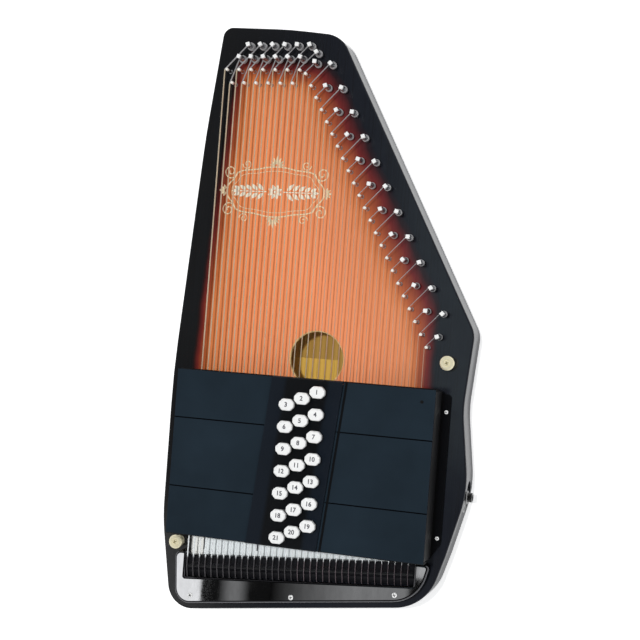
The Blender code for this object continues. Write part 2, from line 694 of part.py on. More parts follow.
def button_mesh(look):
    """An eight-sided cap with its stem, drawn about the top of the bar."""
    low = BUTTON_BOTTOM - BAR_TOP
    high = BUTTON_TOP - BAR_TOP
    outer = cut_corner_box(BUTTON_LENGTH, BUTTON_WIDTH, BUTTON_CORNER)
    inner = inset(outer, BUTTON_ROUND)
    cap_rings = [level(outer, low), level(outer, high - BUTTON_ROUND), level(inner, high)]
    cap = rings_object("button_cap", cap_rings, look, 50)
    reach = STEM_LENGTH / 2
    width = BAR_WIDTH / 2 - GAP
    stem = prism("button_stem", box_outline(-reach, reach, -width, width), GAP - STEM_SEAT_DEPTH, low + MM)
    boolean(cap, stem, "UNION")
    bpy.context.view_layer.update()
    solid = bpy.data.meshes.new_from_object(cap.evaluated_get(bpy.context.evaluated_depsgraph_get()))
    solid.name = "chord_button"
    for guide in (cap, stem):
        bpy.data.objects.remove(guide, do_unlink=True)
    return solid


def make_buttons(looks):
    shared = button_mesh(looks["button"])
    for n in range(BAR_COUNT):
        button = bpy.data.objects.new(f"chord_button_{n + 1:02d}", shared)
        bpy.context.collection.objects.link(button)
        button.location = (button_x(n), bar_y(n), BAR_TOP)


def make_holder(name, side, looks):
    """A comb whose teeth guide the bars' ends; side is -1 at the bass end and 1 at the treble end."""
    wall = WALL_LEFT if side < 0 else WALL_RIGHT
    outer = wall + side * HOLDER_WALL
    tip = wall - side * TOOTH_LENGTH
    y_low, y_high = BARS_MIDDLE_Y - HOLDER_HALF, BARS_MIDDLE_Y + HOLDER_HALF
    outline = [(outer, y_high), (outer, y_low)]
    slot_half = BAR_WIDTH / 2 + GAP
    outline.append((tip, y_low))
    for n in reversed(range(BAR_COUNT)):
        y = bar_y(n)
        outline += [(tip, y - slot_half), (wall, y - slot_half),
                    (wall, y + slot_half), (tip, y + slot_half)]
    outline.append((tip, y_high))
    comb = prism(name, outline, ON_BOARD, BAR_TOP, looks["black"])
    edge = outer + side * HOLDER_FLANGE
    inner = tip - side * FLANGE_LAP
    upper, lower = FLANGE_SETBACKS
    flange = rounded([(inner, y_high + FLANGE_MARGIN, MM), (edge, y_high - upper, FLANGE_CORNER),
                      (edge, y_low + lower, FLANGE_CORNER), (outer, y_low - FLANGE_MARGIN, MM),
                      (inner, y_low - FLANGE_MARGIN, MM)])
    boolean(comb, prism(name + "_flange", flange, ON_BOARD, FLANGE_TOP), "UNION")
    studs = bmesh.new()
    for n in range(BAR_COUNT):
        stud = circle(SPRING_STUD_RADIUS, 4, (wall - side * TOOTH_LENGTH / 2, bar_y(n)))
        add_rings(studs, [level(stud, FLANGE_TOP - MM), level(stud, FLANGE_TOP + SPRING_STUD_HEIGHT)])
    boolean(comb, mesh_object(name + "_studs", studs), "UNION")


def panel_edge(side, y):
    """X of the slanted joint between the button panel and a cover."""
    return PANEL_MIDDLE_X + side * PANEL_HALF_WIDTH + (y - BARS_MIDDLE_Y) * tan(PANEL_SLANT)


def hood_profile(bottom, thickness, skirt, grooves):
    """Side view across the bars of a cover with turned-down ends, as (y, z)."""
    y_low, y_high = BARS_MIDDLE_Y - COVER_HALF, BARS_MIDDLE_Y + COVER_HALF
    top = bottom + thickness
    chamfer = 0.8 * MM
    points = [(y_low, bottom - skirt), (y_low + COVER_THICKNESS, bottom - skirt),
              (y_low + COVER_THICKNESS, bottom), (y_high - COVER_THICKNESS, bottom),
              (y_high - COVER_THICKNESS, bottom - skirt), (y_high, bottom - skirt),
              (y_high, top - chamfer), (y_high - chamfer, top)]
    for share in grooves:
        y = y_high - share * (y_high - y_low)
        reach = COVER_GROOVE_WIDTH / 2
        points += [(y + reach, top), (y + reach, top - COVER_GROOVE_DEPTH),
                   (y - reach, top - COVER_GROOVE_DEPTH), (y - reach, top)]
    return points + [(y_low + chamfer, top), (y_low, top - chamfer)]


def make_covers(looks):
    skirt = COVER_SKIRT
    profile = hood_profile(COVER_BOTTOM, COVER_THICKNESS, skirt, COVER_GROOVES)
    for name, side, end in (("cover_bass", -1, UNIT_LEFT - GAP), ("cover_treble", 1, UNIT_RIGHT + GAP)):
        joint = side * GAP
        rings = [[(end, y, z) for y, z in profile],
                 [(panel_edge(side, y) + joint, y, z) for y, z in profile]]
        cover = rings_object(name, rings, looks["black"])
        tongue_y = [BARS_MIDDLE_Y - COVER_HALF + COVER_THICKNESS + MM,
                    BARS_MIDDLE_Y + COVER_HALF - COVER_THICKNESS - MM]
        outline = [(panel_edge(side, y) + side * GAP + offset, y)
                   for y, offset in ((tongue_y[0], side * MM), (tongue_y[0], -side * COVER_LAP),
                                     (tongue_y[1], -side * COVER_LAP), (tongue_y[1], side * MM))]
        tongue = prism(name + "_tongue", outline, COVER_BOTTOM + 0.2 * MM, COVER_TOP - 0.2 * MM)
        boolean(cover, tongue, "UNION")


def make_panel(looks):
    profile = hood_profile(PANEL_BOTTOM, PANEL_THICKNESS, COVER_SKIRT + PANEL_BOTTOM - COVER_BOTTOM, ())
    rings = [[(panel_edge(side, y), y, z) for y, z in profile] for side in (-1, 1)]
    panel = rings_object("centre_panel", rings, looks["panel"])
    slots = bmesh.new()
    reach = STEM_LENGTH / 2 + SLOT_PLAY
    width = BAR_WIDTH / 2 - GAP + SLOT_PLAY
    for n in range(BAR_COUNT):
        x, y = button_x(n), bar_y(n)
        slot = box_outline(x - reach, x + reach, y - width, y + width)
        add_rings(slots, [level(slot, PANEL_BOTTOM - MM), level(slot, PANEL_TOP + MM)])
    boolean(panel, mesh_object("panel_slots", slots))


# Electrics and fittings

def make_pickup(looks):
    """A long coil bar under the strings; its lead drops through the board to the jack."""
    y0, y1 = PICKUP_Y - PICKUP_WIDTH / 2, PICKUP_Y + PICKUP_WIDTH / 2
    pickup = prism("pickup", box_outline(*PICKUP_ENDS_X, y0, y1), ON_BOARD, ON_BOARD + PICKUP_HEIGHT,
                   looks["black"])
    start = Vector((PICKUP_LEAD_X, PICKUP_Y, ON_BOARD + 2 * MM))
    stop = Vector((JACK_SEAT_X - JACK_BARREL_LENGTH, JACK_Y, JACK_HEIGHT))
    pulls = (start, start - Vector((0, 0, LEAD_DROP)), stop - Vector((LEAD_RUN_IN, 0, 0)), stop)
    path = []
    for k in range(LEAD_STEPS + 1):
        t = k / LEAD_STEPS
        weights = ((1 - t) ** 3, 3 * t * (1 - t) ** 2, 3 * t * t * (1 - t), t ** 3)
        path.append(sum((point * weight for point, weight in zip(pulls, weights)), Vector()))
    boolean(pickup, lead_tube("pickup_lead", path), "UNION")


def lead_tube(name, path):
    curve = bpy.data.curves.new(name, "CURVE")
    curve.dimensions = "3D"
    curve.bevel_depth = LEAD_RADIUS
    curve.bevel_resolution = 2
    curve.use_fill_caps = True
    spline = curve.splines.new("POLY")
    spline.points.add(len(path) - 1)
    for point, place in zip(spline.points, path):
        point.co = (*place, 1.0)
    obj = bpy.data.objects.new(name, curve)
    bpy.context.collection.objects.link(obj)
    bpy.context.view_layer.update()
    mesh = bpy.data.meshes.new_from_object(obj.evaluated_get(bpy.context.evaluated_depsgraph_get()))
    bpy.data.objects.remove(obj, do_unlink=True)
    tube = bpy.data.objects.new(name, mesh)
    bpy.context.collection.objects.link(tube)
    return tube


def make_strap_buttons(looks):
    for name, (x, y) in STRAP_BUTTONS.items():
        profile = [(0.7 * STRAP_HEAD_RADIUS, 0.0), (0.7 * STRAP_HEAD_RADIUS, STRAP_FOOT),
                   (STRAP_NECK_RADIUS, STRAP_NECK[0]), (STRAP_NECK_RADIUS, STRAP_NECK[1]),
                   (STRAP_HEAD_RADIUS, STRAP_HEAD[0]), (0.9 * STRAP_HEAD_RADIUS, STRAP_HEAD[1]),
                   (0.55 * STRAP_HEAD_RADIUS, STRAP_HEIGHT)]
        rings = turned_rings([(radius, ON_BOARD + z) for radius, z in profile], 14)
        button = rings_object(name, rings, looks["brass"], 40)
        button.location = (x, y, 0.0)


def across_x(rings, x, y, z):
    """Turn rings drawn about Z so that their axis points along +X."""
    return [[(x + c, y + a, z + b) for a, b, c in ring] for ring in rings]


def make_jack(treble_rail, looks):
    """Plate, nut, bushing and barrel with one bore; the rail has a seat and a hole for them."""
    seat = JACK_SEAT_X + GAP
    centre = (seat, JACK_Y, JACK_HEIGHT)
    plate = stadium(JACK_PLATE_LENGTH, JACK_PLATE_WIDTH, JACK_PLATE_SIDES)
    plate_rings = [level(plate, 0.0), level(plate, JACK_PLATE_THICKNESS)]
    jack = rings_object("output_jack", across_x(plate_rings, *centre), looks["chrome"], 40)
    face = JACK_PLATE_THICKNESS
    barrel = across_x([level(circle(JACK_BARREL_RADIUS, 20), -JACK_BARREL_LENGTH),
                       level(circle(JACK_BARREL_RADIUS, 20), 0.5 * MM)], *centre)
    nut = across_x([level(circle(JACK_NUT_RADIUS, 6), face - 0.5 * MM),
                    level(circle(JACK_NUT_RADIUS, 6), face + JACK_NUT_THICKNESS)], *centre)
    tip = face + JACK_BUSHING_LENGTH
    bushing = across_x([level(circle(JACK_BUSHING_RADIUS, 20), face),
                        level(circle(JACK_BUSHING_RADIUS, 20), tip)], *centre)
    for name, rings in (("jack_barrel", barrel), ("jack_nut", nut), ("jack_bushing", bushing)):
        boolean(jack, rings_object(name, rings), "UNION")
    bore = circle(JACK_BORE_RADIUS, 16)
    bore_rings = [level(bore, tip - JACK_BORE_LENGTH), level(bore, tip + MM)]
    boolean(jack, rings_object("jack_bore", across_x(bore_rings, *centre)))
    pocket = stadium(JACK_PLATE_LENGTH + 2 * SLOT_PLAY, JACK_PLATE_WIDTH + 2 * SLOT_PLAY, JACK_PLATE_SIDES)
    pocket_rings = [level(pocket, -GAP), level(pocket, 20 * MM)]
    boolean(treble_rail, rings_object("jack_seat", across_x(pocket_rings, *centre)))
    hole = circle(JACK_BARREL_RADIUS + GAP, 20)
    hole_rings = [level(hole, -60 * MM), level(hole, MM)]
    boolean(treble_rail, rings_object("jack_hole", across_x(hole_rings, *centre)))


def place_all(outline):
    """Put the origin under the middle of the bounding box."""
    xs = [x for x, _ in outline] + [JACK_SEAT_X + GAP + JACK_PLATE_THICKNESS + JACK_BUSHING_LENGTH]
    ys = [y for _, y in outline]
    layout = bpy.data.objects.new("layout", None)
    bpy.context.collection.objects.link(layout)
    layout.location = (-(min(xs) + max(xs)) / 2, -(min(ys) + max(ys)) / 2, 0.0)
    for obj in bpy.data.objects:
        if obj is not layout:
            obj.parent = layout


def main():
    clear_scene()
    looks = {
        "top": material("sunburst_top", (0.62, 0.24, 0.09), 0.25, coat=0.8),
        "side": material("black_lacquer", (0.015, 0.017, 0.022), 0.2, coat=0.8),
        "black": material("black_plastic", (0.02, 0.02, 0.022), 0.45),
        "panel": material("textured_black_plastic", (0.025, 0.025, 0.028), 0.65),
        "bar": material("bar_and_felt", (0.05, 0.05, 0.055), 0.6),
        "button": material("white_plastic", (0.85, 0.85, 0.83), 0.3),
        "steel": material("string_steel", (0.7, 0.7, 0.68), 0.25, 1.0),
        "chrome": material("chrome", (0.85, 0.86, 0.88), 0.08, 1.0),
        "brass": material("brass", (0.8, 0.62, 0.3), 0.2, 1.0),
    }
    outline = body_outline()
    make_plates(outline, looks)
    frame = make_frame(outline, looks)
    make_tuning_pins(frame["pin_block"], looks)
    make_string_end(looks)
    make_anchor_cover(looks)
    make_bars(looks)
    make_buttons(looks)
    make_holder("chord_bar_holder_bass", -1, looks)
    make_holder("chord_bar_holder_treble", 1, looks)
    make_covers(looks)
    make_panel(looks)
    make_pickup(looks)
    make_strap_buttons(looks)
    make_jack(frame["treble_rail"], looks)
    place_all(outline)


main()
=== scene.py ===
"""Looks of the electric autoharp: finishes, strings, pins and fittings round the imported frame.

All sizes are in metres, apart from names that end in _MM.  Places are first written as in the
part's source, with X counted from the lowest string, Y along the strings and Z from the back;
place() moves them to the shared frame.
"""

import json
from math import atan2, ceil, cos, pi, radians, sin, tan

import bmesh
import bpy
from mathutils import Matrix, Vector

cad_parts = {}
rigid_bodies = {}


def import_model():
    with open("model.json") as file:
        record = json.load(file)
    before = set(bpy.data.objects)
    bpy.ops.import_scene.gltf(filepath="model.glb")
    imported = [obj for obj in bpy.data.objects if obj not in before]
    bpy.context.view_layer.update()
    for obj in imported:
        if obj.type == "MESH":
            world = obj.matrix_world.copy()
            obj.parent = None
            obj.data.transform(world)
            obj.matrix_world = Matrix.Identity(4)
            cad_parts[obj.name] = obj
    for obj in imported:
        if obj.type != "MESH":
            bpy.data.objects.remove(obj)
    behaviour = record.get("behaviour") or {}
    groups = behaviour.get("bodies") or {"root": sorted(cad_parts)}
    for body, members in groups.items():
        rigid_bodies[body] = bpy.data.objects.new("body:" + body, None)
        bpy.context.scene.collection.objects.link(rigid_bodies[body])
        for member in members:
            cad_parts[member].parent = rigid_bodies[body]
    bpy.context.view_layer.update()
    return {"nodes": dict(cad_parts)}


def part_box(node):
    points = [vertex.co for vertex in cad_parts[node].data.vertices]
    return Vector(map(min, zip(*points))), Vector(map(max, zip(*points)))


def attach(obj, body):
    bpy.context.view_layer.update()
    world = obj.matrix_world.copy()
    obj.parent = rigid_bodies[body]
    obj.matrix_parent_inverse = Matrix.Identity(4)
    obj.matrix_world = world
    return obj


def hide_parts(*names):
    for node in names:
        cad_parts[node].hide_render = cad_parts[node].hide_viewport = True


MM = 0.001
BAR_LEFT_X = -12.0 * MM
BARS_MIDDLE_Y = -364.0 * MM
EDGE_ANGLE = 35

# Body
BODY_CORNERS_MM = (
    (-8.3, 60.8, 10.3), (62, 58.3, 400), (115.2, 52.3, 29), (267.3, -229.6, 25),
    (261.4, -302, 120), (271.2, -377.5, 110), (254.75, -440, 60), (239.25, -490, 46),
    (-19.5, -525.9, 24.7), (-34.8, -435, 200), (-35.5, -290, 900), (-20, -50, 800),
)
BACK_TOP = 3.0 * MM
BOARD_BOTTOM = 33.0 * MM
BOARD_TOP = 36.0 * MM
BODY_GAP = 0.02 * MM
EDGE_ROUND = 1.4 * MM
SIDE_WALL = 8.0 * MM
FLAT_MARGIN = 0.3 * MM
HOLE_CENTRE = Vector((114.3 * MM, -265.0 * MM, 0.0))
HOLE_RADIUS = 26.5 * MM
HOLE_CHAMFER = (1.3 * MM, 0.9 * MM)
LABEL_CORNERS_MM = ((80.5, -265.0, 1), (128.0, -265.0, 1), (128.0, -318.0, 1), (80.5, -318.0, 1))

# Strings and pins
STRING_COUNT = 36
WOUND_COUNT = 18
PITCH = 6.35 * MM
BASS_RADIUS = 0.7 * MM
TREBLE_RADIUS = 0.3 * MM
STRING_LIFT = 0.3 * MM
WINDING_PITCH = 0.42 * MM
SADDLE_TOP = 46.0 * MM
SADDLE_HALF = 1.2 * MM
LEVEL_STRINGS = 13
GUIDE_RADIUS = 1.5 * MM
GUIDE_TOP = 49.0 * MM
GUIDE_ROWS_Y = (15.3 * MM, 2.1 * MM)
SLANT_STEP = 11.7 * MM
TUNING_RADIUS = 2.5 * MM
TUNING_TOP = 56.0 * MM
TUNING_SQUARE = 8.0 * MM
TUNING_OFFSETS_MM = {"far": (25.4, 23.4), "near": (10.3, 24.6), "last": (20.1, 16.3),
                     "slant_near": (12.75, 10.5), "slant_far": (22.5, 20.5)}
COIL_TURNS = 3.25
COIL_STEPS = 14
NEAR_COIL_Z = 43.0 * MM
FAR_COIL_Z = 46.0 * MM
STRING_SIDES = 8
GUIDE_SIDES = 14

# Lower end
BRIDGE_LINE = (-478.6 * MM, 0.0877)
BRIDGE_WIDTH = 20.4 * MM
LAST_X = (STRING_COUNT - 1) * PITCH
BRIDGE_ENDS_X = (-1.2 * MM, LAST_X + 5.4 * MM)
ANCHOR_LINE = (-500.0 * MM, 0.108)
ANCHOR_ENDS_X = (-MM, LAST_X + 2.0 * MM)
ANCHOR_HALF = 2.8 * MM
FIT = 0.3 * MM

# Plate over the string ends
PLATE_TOP = 47.0 * MM
PLATE_WALL = 1.8 * MM
PLATE_MARGIN = 7.3 * MM
PLATE_EAR_WIDTHS = (12.8 * MM, 15.0 * MM)
PLATE_EAR_LENGTHS = (25.0 * MM, 21.0 * MM)
PLATE_TAPERS = (4.0 * MM, 9.0 * MM)
PLATE_EDGE = (2.2 * MM, 2.6 * MM)
PLATE_MOUTH_RADIUS = 3.0 * MM
PLATE_EAR_RADII = (7.0 * MM, 4.0 * MM)
PLATE_CORNER_RADII = (15.0 * MM, 36.0 * MM)
PLATE_HOLLOW_CLIP = (12.0 * MM, 4.2 * MM)

# Screws and strap buttons
PLATE_SCREWS_MM = ((6.1, -506.9), (109.9, -495.4), (211.3, -479.7))
HOLDER_SCREWS_MM = ((246.1, -305.0), (246.1, -423.5), (-19.9, -305.0), (-19.9, -423.5))
COVER_SCREW_MM = (228.9, -296.0, 70.8)
FLANGE_TOP = 38.3 * MM
SCREW_SIDES = 20
STRAP_PROFILE_MM = ((5.2, 0.05), (5.2, 0.9), (4.6, 1.6), (3.4, 2.6), (3.0, 4.0), (3.0, 6.8),
                    (3.6, 8.2), (5.6, 9.4), (6.7, 10.2), (6.95, 10.9), (6.6, 11.8), (5.6, 12.5),
                    (4.2, 12.85), (3.4, 12.7), (3.1, 12.3))

# Buttons and their panel
BUTTON_HEIGHT = 4.8 * MM
BUTTON_CORNER = 3.5 * MM
BUTTON_CORNER_RADIUS = 2.2 * MM
BUTTON_TRIM = 1.7 * MM
BUTTON_PROFILE_MM = ((0.5, 0.0), (0.12, 0.15), (0.0, 0.6), (0.0, 3.0), (0.12, 3.7), (0.45, 4.2),
                     (1.0, 4.5), (1.9, 4.62), (3.2, 4.7))
STEM_HALF = (2.0 * MM, 2.2 * MM)
DIGIT_SIZE = 6.0 * MM
PANEL_SLANT = radians(5.2)
# A dark strip of painted shadow beside the panel's treble edge.
SHADOW_STRIP_WIDTH = 2.2 * MM
SHADOW_STRIP_OFFSET = 2.0 * MM
PANEL_DARK = (19.0 * MM, 4.0 * MM)

# Jack and pickup
JACK_REACH = 9.0 * MM
JACK_PLATE = (30.0 * MM, 19.0 * MM, 66)
JACK_SEAT = (30.8 * MM, 19.8 * MM, 46)
JACK_PLATE_TOP = 1.8 * MM
JACK_PLATE_ROUND = 0.6 * MM
JACK_SIDES = 32
PICKUP_Y = -350.0 * MM
PICKUP_TOP = 42.8 * MM
FELT_TOP = 56.5 * MM

# Printed pieces
PRINT_LOW = BOARD_TOP - 0.02 * MM
ORNAMENT_CENTRE = Vector((58.6 * MM, -103.7 * MM))
NOTE_STRIP_WIDTH = 27.0 * MM
NOTE_MARKS_MM = ((12.6, 13.0, 1.2), (68.4, 9.0, 1.6), (150.0, 6.0, 1.2), (196.0, 6.0, 1.2))

# Camera of the photograph, solved from its strings, pins and buttons
CAMERA_PLACE = (0.4596, -0.2470, 1.1630)
CAMERA_RIGHT = Vector((0.9540, 0.0751, -0.2904))
CAMERA_BACK = Vector((0.2924, -0.0171, 0.9561))
CAMERA_LENS = 68.12


def layout_origin():
    """The layout's origin in the shared frame, from the bars' ends and the button panel."""
    low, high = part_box("centre_panel")
    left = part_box("chord_bar_01")[0].x
    return Vector((left - BAR_LEFT_X, (low.y + high.y) / 2 - BARS_MIDDLE_Y, 0.0))


def middle_of(node):
    low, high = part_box(node)
    return (low + high) / 2


def place(x, y, z=0.0):
    return Vector((x, y, z)) + SHIFT


def placed(points):
    """An outline of the layout in the shared frame."""
    return [(x + SHIFT.x, y + SHIFT.y) for x, y in points]


# Materials

def scaled(colour, share):
    return tuple(channel * share for channel in colour)


class Wiring:
    """Short ways of adding nodes to a tree."""

    def __init__(self, tree):
        self.tree = tree

    def feed(self, socket, value):
        if isinstance(value, bpy.types.NodeSocket):
            self.tree.links.new(value, socket)
        elif socket.type == "RGBA":
            socket.default_value = (*value, 1.0)
        else:
            socket.default_value = value

    def add(self, kind, inputs, output=0, **settings):
        """A node with settings and inputs; gives one of its outputs."""
        node = self.tree.nodes.new("ShaderNode" + kind)
        for key, value in settings.items():
            setattr(node, key, value)
        for key, value in inputs.items():
            self.feed(node.inputs[key], value)
        return node.outputs[output]

    def ramp(self, factor, stops):
        """Colours, or grey numbers, along a factor."""
        node = self.tree.nodes.new("ShaderNodeValToRGB")
        self.feed(node.inputs["Fac"], factor)
        elements = node.color_ramp.elements
        while len(elements) < len(stops):
            elements.new(1.0)
        for element, (at, colour) in zip(elements, stops):
            element.position = at
            element.color = (*(colour if isinstance(colour, tuple) else (colour,) * 3), 1.0)
        return node.outputs["Color"]

    def mix(self, factor, low, high, blend="MIX"):
        return self.add("Mix", {0: factor, 6: low, 7: high}, 2, data_type="RGBA", blend_type=blend)


class Look(Wiring):
    """A Principled material and what drives its sockets."""

    def __init__(self, name, colour, roughness, metallic=0.0, ior=1.5):
        self.material = bpy.data.materials.new(name)
        self.material.use_nodes = True
        super().__init__(self.material.node_tree)
        self.shader = self.tree.nodes["Principled BSDF"]
        self.paint(colour)
        self.set("Roughness", roughness)
        self.set("Metallic", metallic)
        self.set("IOR", ior)

    def set(self, name, value):
        self.feed(self.shader.inputs[name], value)

    def paint(self, colour):
        self.set("Base Color", colour)

    def dull(self, factor, *stops):
        """Roughness along a factor."""
        self.set("Roughness", self.ramp(factor, stops))

    def position(self):
        return self.add("TexCoord", {}, "Object")

    def axis(self, name):
        return self.add("SeparateXYZ", {0: self.position()}, name)

    def maths(self, operation, *values, clamp=False):
        return self.add("Math", dict(enumerate(values)), operation=operation, use_clamp=clamp)

    def minus(self, value, other):
        return self.maths("SUBTRACT", value, other)

    def times(self, value, other):
        return self.maths("MULTIPLY", value, other)

    def above(self, value, edge, width):
        """0 under an edge, 1 over it, with a short slope between."""
        return self.maths("DIVIDE", self.minus(value, edge), width, clamp=True)

    def noise(self, scale, detail=4.0, roughness=0.55, stretch=None):
        """Noise over the object, with each axis scaled by stretch."""
        vector = self.position()
        if stretch:
            vector = self.add("Mapping", {"Vector": vector, "Scale": stretch})
        return self.add("TexNoise", {"Vector": vector, "Scale": scale, "Detail": detail,
                                     "Roughness": roughness}, "Fac")

    def bump(self, height, distance, strength=1.0):
        self.set("Normal", self.add("Bump", {"Height": height, "Distance": distance,
                                             "Strength": strength}))


def speckled(name, colour, roughness, grain=1400.0, depth=0.05 * MM, spread=0.12, low=None, **more):
    """Moulded or painted finish with fine grain and slow changes of tone, with painted shade below a
    height.
    """
    look = Look(name, colour, roughness, **more)
    slow = look.noise(14.0, 3.0)
    light = tuple(min(1.0, channel) for channel in scaled(colour, 1 + spread))
    shade = look.mix(slow, scaled(colour, 1 - spread), light)
    # Painted shade: faces under the given height, such as side walls and groove floors, take the dark
    # colour.
    if low:
        height, dark = low
        shade = look.mix(look.above(look.axis("Z"), height - 0.25 * MM, 0.15 * MM), dark, shade)
    look.paint(shade)
    look.dull(slow, (0.3, roughness * 0.9), (0.7, min(1.0, roughness * 1.12)))
    look.bump(look.noise(grain, 2.0), depth, 0.6)
    return look.material


def metal(name, colour, roughness, wear=0.06, scale=180.0):
    """Polished metal with faint wipe marks."""
    look = Look(name, colour, roughness, metallic=1.0)
    marks = look.noise(scale, 5.0, stretch=(1.0, 0.35, 1.0))
    worn = look.ramp(marks, ((0.35, 0.0), (0.75, 1.0)))
    look.paint(look.mix(worn, colour, scaled(colour, 0.86)))
    look.dull(marks, (0.3, roughness), (0.8, roughness + wear))
    return look.material


# Sunburst: the straight edges that shade the top, as two corners, black margin and fade width in mm
BURST_EDGES_MM = (
    ((-8.3, 60.8), (115.2, 52.3), 26, 29), ((115.2, 52.3), (267.3, -229.6), 16, 43),
    ((262.0, -180.0), (262.0, -400.0), 29, 25), ((236.6, -488.8), (-17.5, -524.8), 72, 40),
    ((-34.8, -435), (-35.5, -290), 19, 17), ((-35.5, -290), (-20, -50), 17, 19),
    ((-20, -50), (-8.3, 60.8), 18, 21),
)
BURST_COLOURS = (
    (0.0, (0.013, 0.015, 0.021)), (0.05, (0.028, 0.014, 0.018)), (0.14, (0.17, 0.025, 0.026)),
    (0.27, (0.46, 0.120, 0.048)), (0.35, (0.72, 0.240, 0.090)), (0.45, (0.84, 0.300, 0.130)),
    (1.0, (1.0, 0.360, 0.165)),
)
BASS_TINT = ((0.0, (0.94, 0.86, 0.68)), (1.0, (1.0, 1.0, 1.0)))
BASS_TINT_WIDTH = 130.0 * MM


def sunburst():
    """Spruce top sprayed orange in the middle to black at the edges, browner in the bass."""
    look = Look("sunburst_spruce", (0.62, 0.24, 0.09), 0.18)

    def tinted(shade, tint):
        return look.mix(1.0, shade, tint, "MULTIPLY")

    depth = None
    for (x0, y0), (x1, y1), margin, fade in BURST_EDGES_MM:
        start = place(x0 * MM, y0 * MM)
        along = (place(x1 * MM, y1 * MM) - start).normalized()
        inward = Vector((along.y, -along.x, 0.0))
        reach = look.add("VectorMath", {0: look.position(), 1: tuple(inward)}, "Value",
                         operation="DOT_PRODUCT")
        offset = inward.dot(start) + margin * MM
        share = look.maths("DIVIDE", look.minus(reach, offset), fade * MM)
        depth = share if depth is None else look.maths("SMOOTH_MIN", depth, share, 0.5)
    cloud = look.noise(30.0, 2.0)
    depth = look.maths("ADD", depth, look.times(look.minus(cloud, 0.5), 0.25))
    shade = look.ramp(look.times(depth, 0.4), BURST_COLOURS)
    treble = look.above(look.axis("X"), place(0, 0).x, BASS_TINT_WIDTH)
    shade = tinted(shade, look.ramp(treble, BASS_TINT))
    grain = look.noise(1.0, 3.0, 0.6, (620.0, 7.0, 1.0))
    lines = look.ramp(grain, ((0.34, 0.0), (0.62, 1.0)))
    shade = look.mix(lines, tinted(shade, (0.88, 0.84, 0.81)), shade)
    silk = look.noise(1.0, 3.0, stretch=(90.0, 16.0, 1.0))
    sheen = look.ramp(silk, ((0.4, 0.0), (0.7, 0.22)))
    look.paint(look.mix(sheen, shade, tinted(shade, (1.0, 0.86, 0.72))))
    haze = look.noise(60.0, 4.0)
    look.dull(haze, (0.3, 0.12), (0.75, 0.2))
    look.bump(look.noise(220.0, 3.0), 0.03 * MM, 0.25)
    return look.material


def black_lacquer():
    """Gloss black over wood, with faint orange peel and dust."""
    look = Look("black_lacquer", (0.013, 0.015, 0.021), 0.1)
    haze = look.noise(45.0, 5.0)
    look.paint(look.mix(haze, (0.010, 0.012, 0.017), (0.017, 0.019, 0.026)))
    look.dull(haze, (0.3, 0.07), (0.8, 0.16))
    look.bump(look.noise(260.0, 2.0), 0.02 * MM, 0.3)
    return look.material


def panel_plastic(colour, dark):
    """Moulded panel, darker in a slanted band along the three columns of buttons."""
    look = Look("panel_plastic", colour, 0.6)
    middle = middle_of("centre_panel")
    across = look.minus(look.axis("X"), middle.x)
    along = look.times(look.minus(look.axis("Y"), middle.y), tan(PANEL_SLANT))
    reach = look.maths("ABSOLUTE", look.minus(across, along))
    slow = look.noise(14.0, 3.0)
    shade = look.mix(slow, scaled(colour, 0.7), scaled(colour, 1.3))
    look.paint(look.mix(look.above(reach, *PANEL_DARK), dark, shade))
    look.dull(slow, (0.3, 0.54), (0.7, 0.67))
    look.bump(look.noise(1500.0, 2.0), 0.08 * MM, 0.6)
    return look.material


def raw_wood(name, colour, dark):
    look = Look(name, colour, 0.6)
    grain = look.noise(1.0, 4.0, 0.6, (260.0, 5.0, 60.0))
    look.paint(look.mix(look.ramp(grain, ((0.3, 0.0), (0.7, 1.0))), dark, colour))
    look.bump(grain, 0.1 * MM, 0.4)
    return look.material


def paper(name, colour, line, pitch, width, plain_end=0.0):
    """Paper with fine lines printed across, plain white up to a place on X."""
    look = Look(name, colour, 0.75)
    count = look.maths("DIVIDE", look.axis("X"), pitch)
    edge = look.maths("ABSOLUTE", look.minus(look.maths("FRACT", count), 0.5))
    printed = look.maths("LESS_THAN", edge, width / pitch / 2)
    mottle = look.noise(120.0, 4.0)
    shade = look.mix(printed, look.mix(mottle, scaled(colour, 0.93), colour), line)
    if plain_end:
        past = look.above(look.axis("X"), place(plain_end, 0).x, MM)
        shade = look.mix(past, (0.97, 0.97, 0.93), shade)
    look.paint(shade)
    look.bump(look.noise(900.0, 3.0), 0.03 * MM, 0.5)
    return look.material


def bar_and_felt():
    """Dark bar above, pressed grey felt below."""
    look = Look("bar_and_felt", (0.03, 0.03, 0.033), 0.5)
    over = look.above(look.axis("Z"), FELT_TOP - 0.05 * MM, 0.1 * MM)
    fibre = look.noise(900.0, 5.0)
    felt = look.mix(fibre, (0.16, 0.16, 0.17), (0.34, 0.34, 0.35))
    slow = look.noise(200.0, 3.0)
    bar = look.mix(slow, (0.02, 0.02, 0.023), (0.036, 0.036, 0.040))
    look.paint(look.mix(over, felt, bar))
    look.dull(over, (0.0, 0.95), (1.0, 0.38))
    look.bump(fibre, 0.25 * MM, 0.5)
    return look.material


